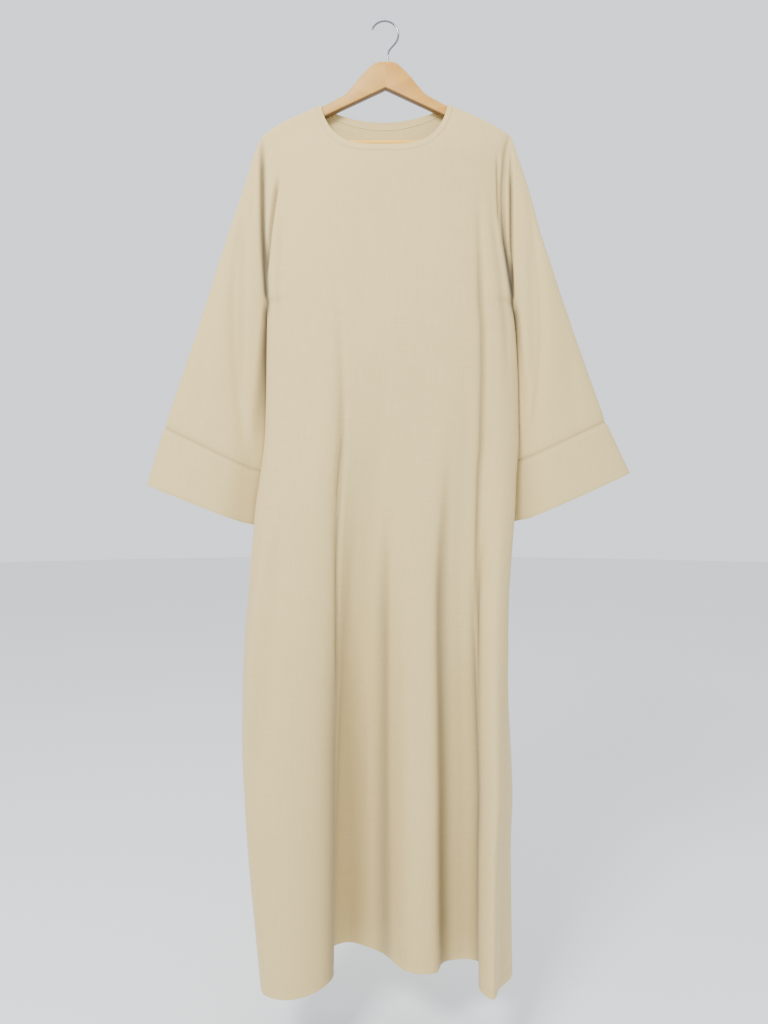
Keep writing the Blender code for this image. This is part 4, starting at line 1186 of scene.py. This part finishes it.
def stitchTree():
    # stitches laid along a curve: spaced points, each with a small rounded bar
    tree = bpy.data.node_groups.new("stitchRow", "GeometryNodeTree")
    sockets = {}
    for label, kind in (("Curve", "Geometry"), ("Spacing", "Float"), ("Length", "Float"), ("Radius", "Float"),
                        ("Finish", "Material")):
        socket = tree.interface.new_socket(label, in_out="INPUT", socket_type="NodeSocket" + kind)
        sockets[label] = socket.identifier
    tree.interface.new_socket("Geometry", in_out="OUTPUT", socket_type="NodeSocketGeometry")

    def node(kind, mode=None, **feeds):
        made = tree.nodes.new(kind)
        if mode:
            made.mode = mode
        for label, source in feeds.items():
            tree.links.new(source, made.inputs[label])
        return made

    entry = node("NodeGroupInput").outputs
    points = node("GeometryNodeCurveToPoints", "LENGTH", Curve=entry["Curve"], Length=entry["Spacing"]).outputs
    bar = node("GeometryNodeMeshCylinder", Radius=entry["Radius"], Depth=entry["Length"])
    bar.inputs["Vertices"].default_value = thread["sides"]
    bar.inputs["Side Segments"].default_value = 2
    copies = node("GeometryNodeInstanceOnPoints", Points=points["Points"], Rotation=points["Rotation"],
                  Instance=bar.outputs["Mesh"])
    real = node("GeometryNodeRealizeInstances", Geometry=copies.outputs["Instances"])
    paint = node("GeometryNodeSetMaterial", Geometry=real.outputs["Geometry"], Material=entry["Finish"])
    node("NodeGroupOutput", Geometry=paint.outputs["Geometry"])
    return tree, sockets


stitchNodes, stitchInputs = stitchTree()


def stitchRow(name, lines):
    # lines are lists of points on the cloth, already lifted to its surface
    curve = bpy.data.curves.new(name + "Line", "CURVE")
    curve.dimensions = "3D"
    for points in lines:
        spline = curve.splines.new("POLY")
        spline.points.add(len(points) - 1)
        for target, point in zip(spline.points, points):
            target.co = (*point, 1.0)
    line = placed(name + "Line", curve)
    modifier = line.modifiers.new("stitches", "NODES")
    modifier.node_group = stitchNodes
    for label in ("Spacing", "Length", "Radius"):
        modifier[stitchInputs[label]] = thread[label.lower()]
    modifier[stitchInputs["Finish"]] = threadFinish
    graph = bpy.context.evaluated_depsgraph_get()
    mesh = bpy.data.meshes.new_from_object(line.evaluated_get(graph))
    bpy.data.objects.remove(line, do_unlink=True)
    mesh.name = name
    mesh.shade_smooth()
    return placed(name, mesh)


def neckStitchLines():
    inset, crowding = neckBand["stitchInset"], 0.3
    lines = []
    for side, steps in zip((-1, 1), thread["neckPoints"]):
        points = yokePoints(side, *neckHalf(side, inset, steps, crowding))
        beside = yokePoints(side, *neckHalf(side, inset + 0.0008, steps, crowding))
        outward = np.cross(np.gradient(points, axis=0), beside - points) * side
        outward /= np.linalg.norm(outward, axis=1, keepdims=True)
        lines.append(points + outward * thread["neckLift"])
    return lines


def hemStitchLine(side, settings):
    shares = np.linspace(thread["hemEnds"], 1 - thread["hemEnds"], thread["hemPoints"])
    t = shares if side < 0 else 2.0 - shares
    z = body["hemZ"] + settings["hemDepth"]
    rows = skirtPoints(t[None, :], np.array([[z + 0.001], [z], [z - 0.001]]))
    return rows[1] + gridNormals(rows, False, side)[1] * thread["hemLift"]


print("stage: sewing")
neckStitches = stitchRow("neckStitches", neckStitchLines())
hemStitches = stitchRow("hemStitches", [hemStitchLine(-1, front), hemStitchLine(1, back)])

slots = {
    frontPiece: ("cloth", ["front"]), backPiece: ("cloth", ["back"]), bandPiece: ("cloth", ["neck_band"]),
    leftSleeve: ("cloth", ["left_sleeve"]), rightSleeve: ("cloth", ["right_sleeve"]),
    leftCuff: ("cloth", ["left_cuff"]), rightCuff: ("cloth", ["right_cuff"]),
    leftArm: ("light_wood", ["hanger_left_arm"]), rightArm: ("warm_wood", ["hanger_right_arm"]),
    barPiece: ("warm_wood", ["hanger_bar"]), hookPiece: ("chrome", ["hook"]),
    neckStitches: ("cloth", []), hemStitches: ("cloth", []),
}
for piece, (slotName, replaced) in slots.items():
    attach(piece, "root")
    if replaced:
        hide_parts(*replaced)

print("stage: floor, light and camera")
view = {
    "cameraPlace": (-0.0068, -1.31, -0.8328),
    "focalPixels": 770.0,
    "imageHeight": 1024.0,
    "sensorHeight": 36.0,
    "floorZ": -1.72,
    "floorRadius": 14.0,
    "floorColours": ((0.8, 0.82, 0.84), (0.84, 0.86, 0.88)),
    "air": (0.93, 0.96, 1.0),
    "airStrength": 1.42,
}


def makeStage():
    mesh = bmesh.new()
    bmesh.ops.create_circle(mesh, cap_ends=True, radius=view["floorRadius"], segments=96)
    for vert in mesh.verts:
        vert.co.z = view["floorZ"]
    f = Finish("pale floor")
    cloud = f.noise(f.add("ShaderNodeTexCoord", output=3), 1.2, 2.0)
    f.set(Base_Color=f.mixColour(cloud, *view["floorColours"]), Roughness=0.9)
    finished("floor", mesh, f.material)
    world = bpy.data.worlds.new("studio")
    world.use_nodes = True
    background = world.node_tree.nodes["Background"]
    background.inputs["Color"].default_value = (*view["air"], 1.0)
    background.inputs["Strength"].default_value = view["airStrength"]
    bpy.context.scene.world = world


def addLight(name, place, target, size, power, colour=(1.0, 1.0, 1.0)):
    lamp = bpy.data.lights.new(name, "AREA")
    lamp.shape, lamp.size, lamp.size_y = "RECTANGLE", size, size
    lamp.energy, lamp.color = power, colour
    light = placed(name, lamp)
    light.location = place
    light.rotation_euler = (Vector(target) - Vector(place)).to_track_quat("-Z", "Y").to_euler()


makeStage()
addLight("key", (-1.0, -1.9, 0.8), (0.0, 0.0, -0.5), 0.8, 100.0, (1.0, 0.99, 0.965))
addLight("fill", (2.4, -2.0, -0.2), (0.0, 0.0, -0.8), 2.0, 8.0)
addLight("top", (0.2, 0.2, 2.2), (0.0, 0.0, -0.6), 1.8, 20.0)

cameraData = bpy.data.cameras.new("camera")
cameraData.sensor_fit = "VERTICAL"
cameraData.sensor_height = view["sensorHeight"]
cameraData.lens = view["focalPixels"] / view["imageHeight"] * view["sensorHeight"]
camera = placed("camera", cameraData)
camera.location = view["cameraPlace"]
camera.rotation_euler = (math.pi / 2, 0.0, 0.0)
bpy.context.scene.camera = camera

print("stage: done")
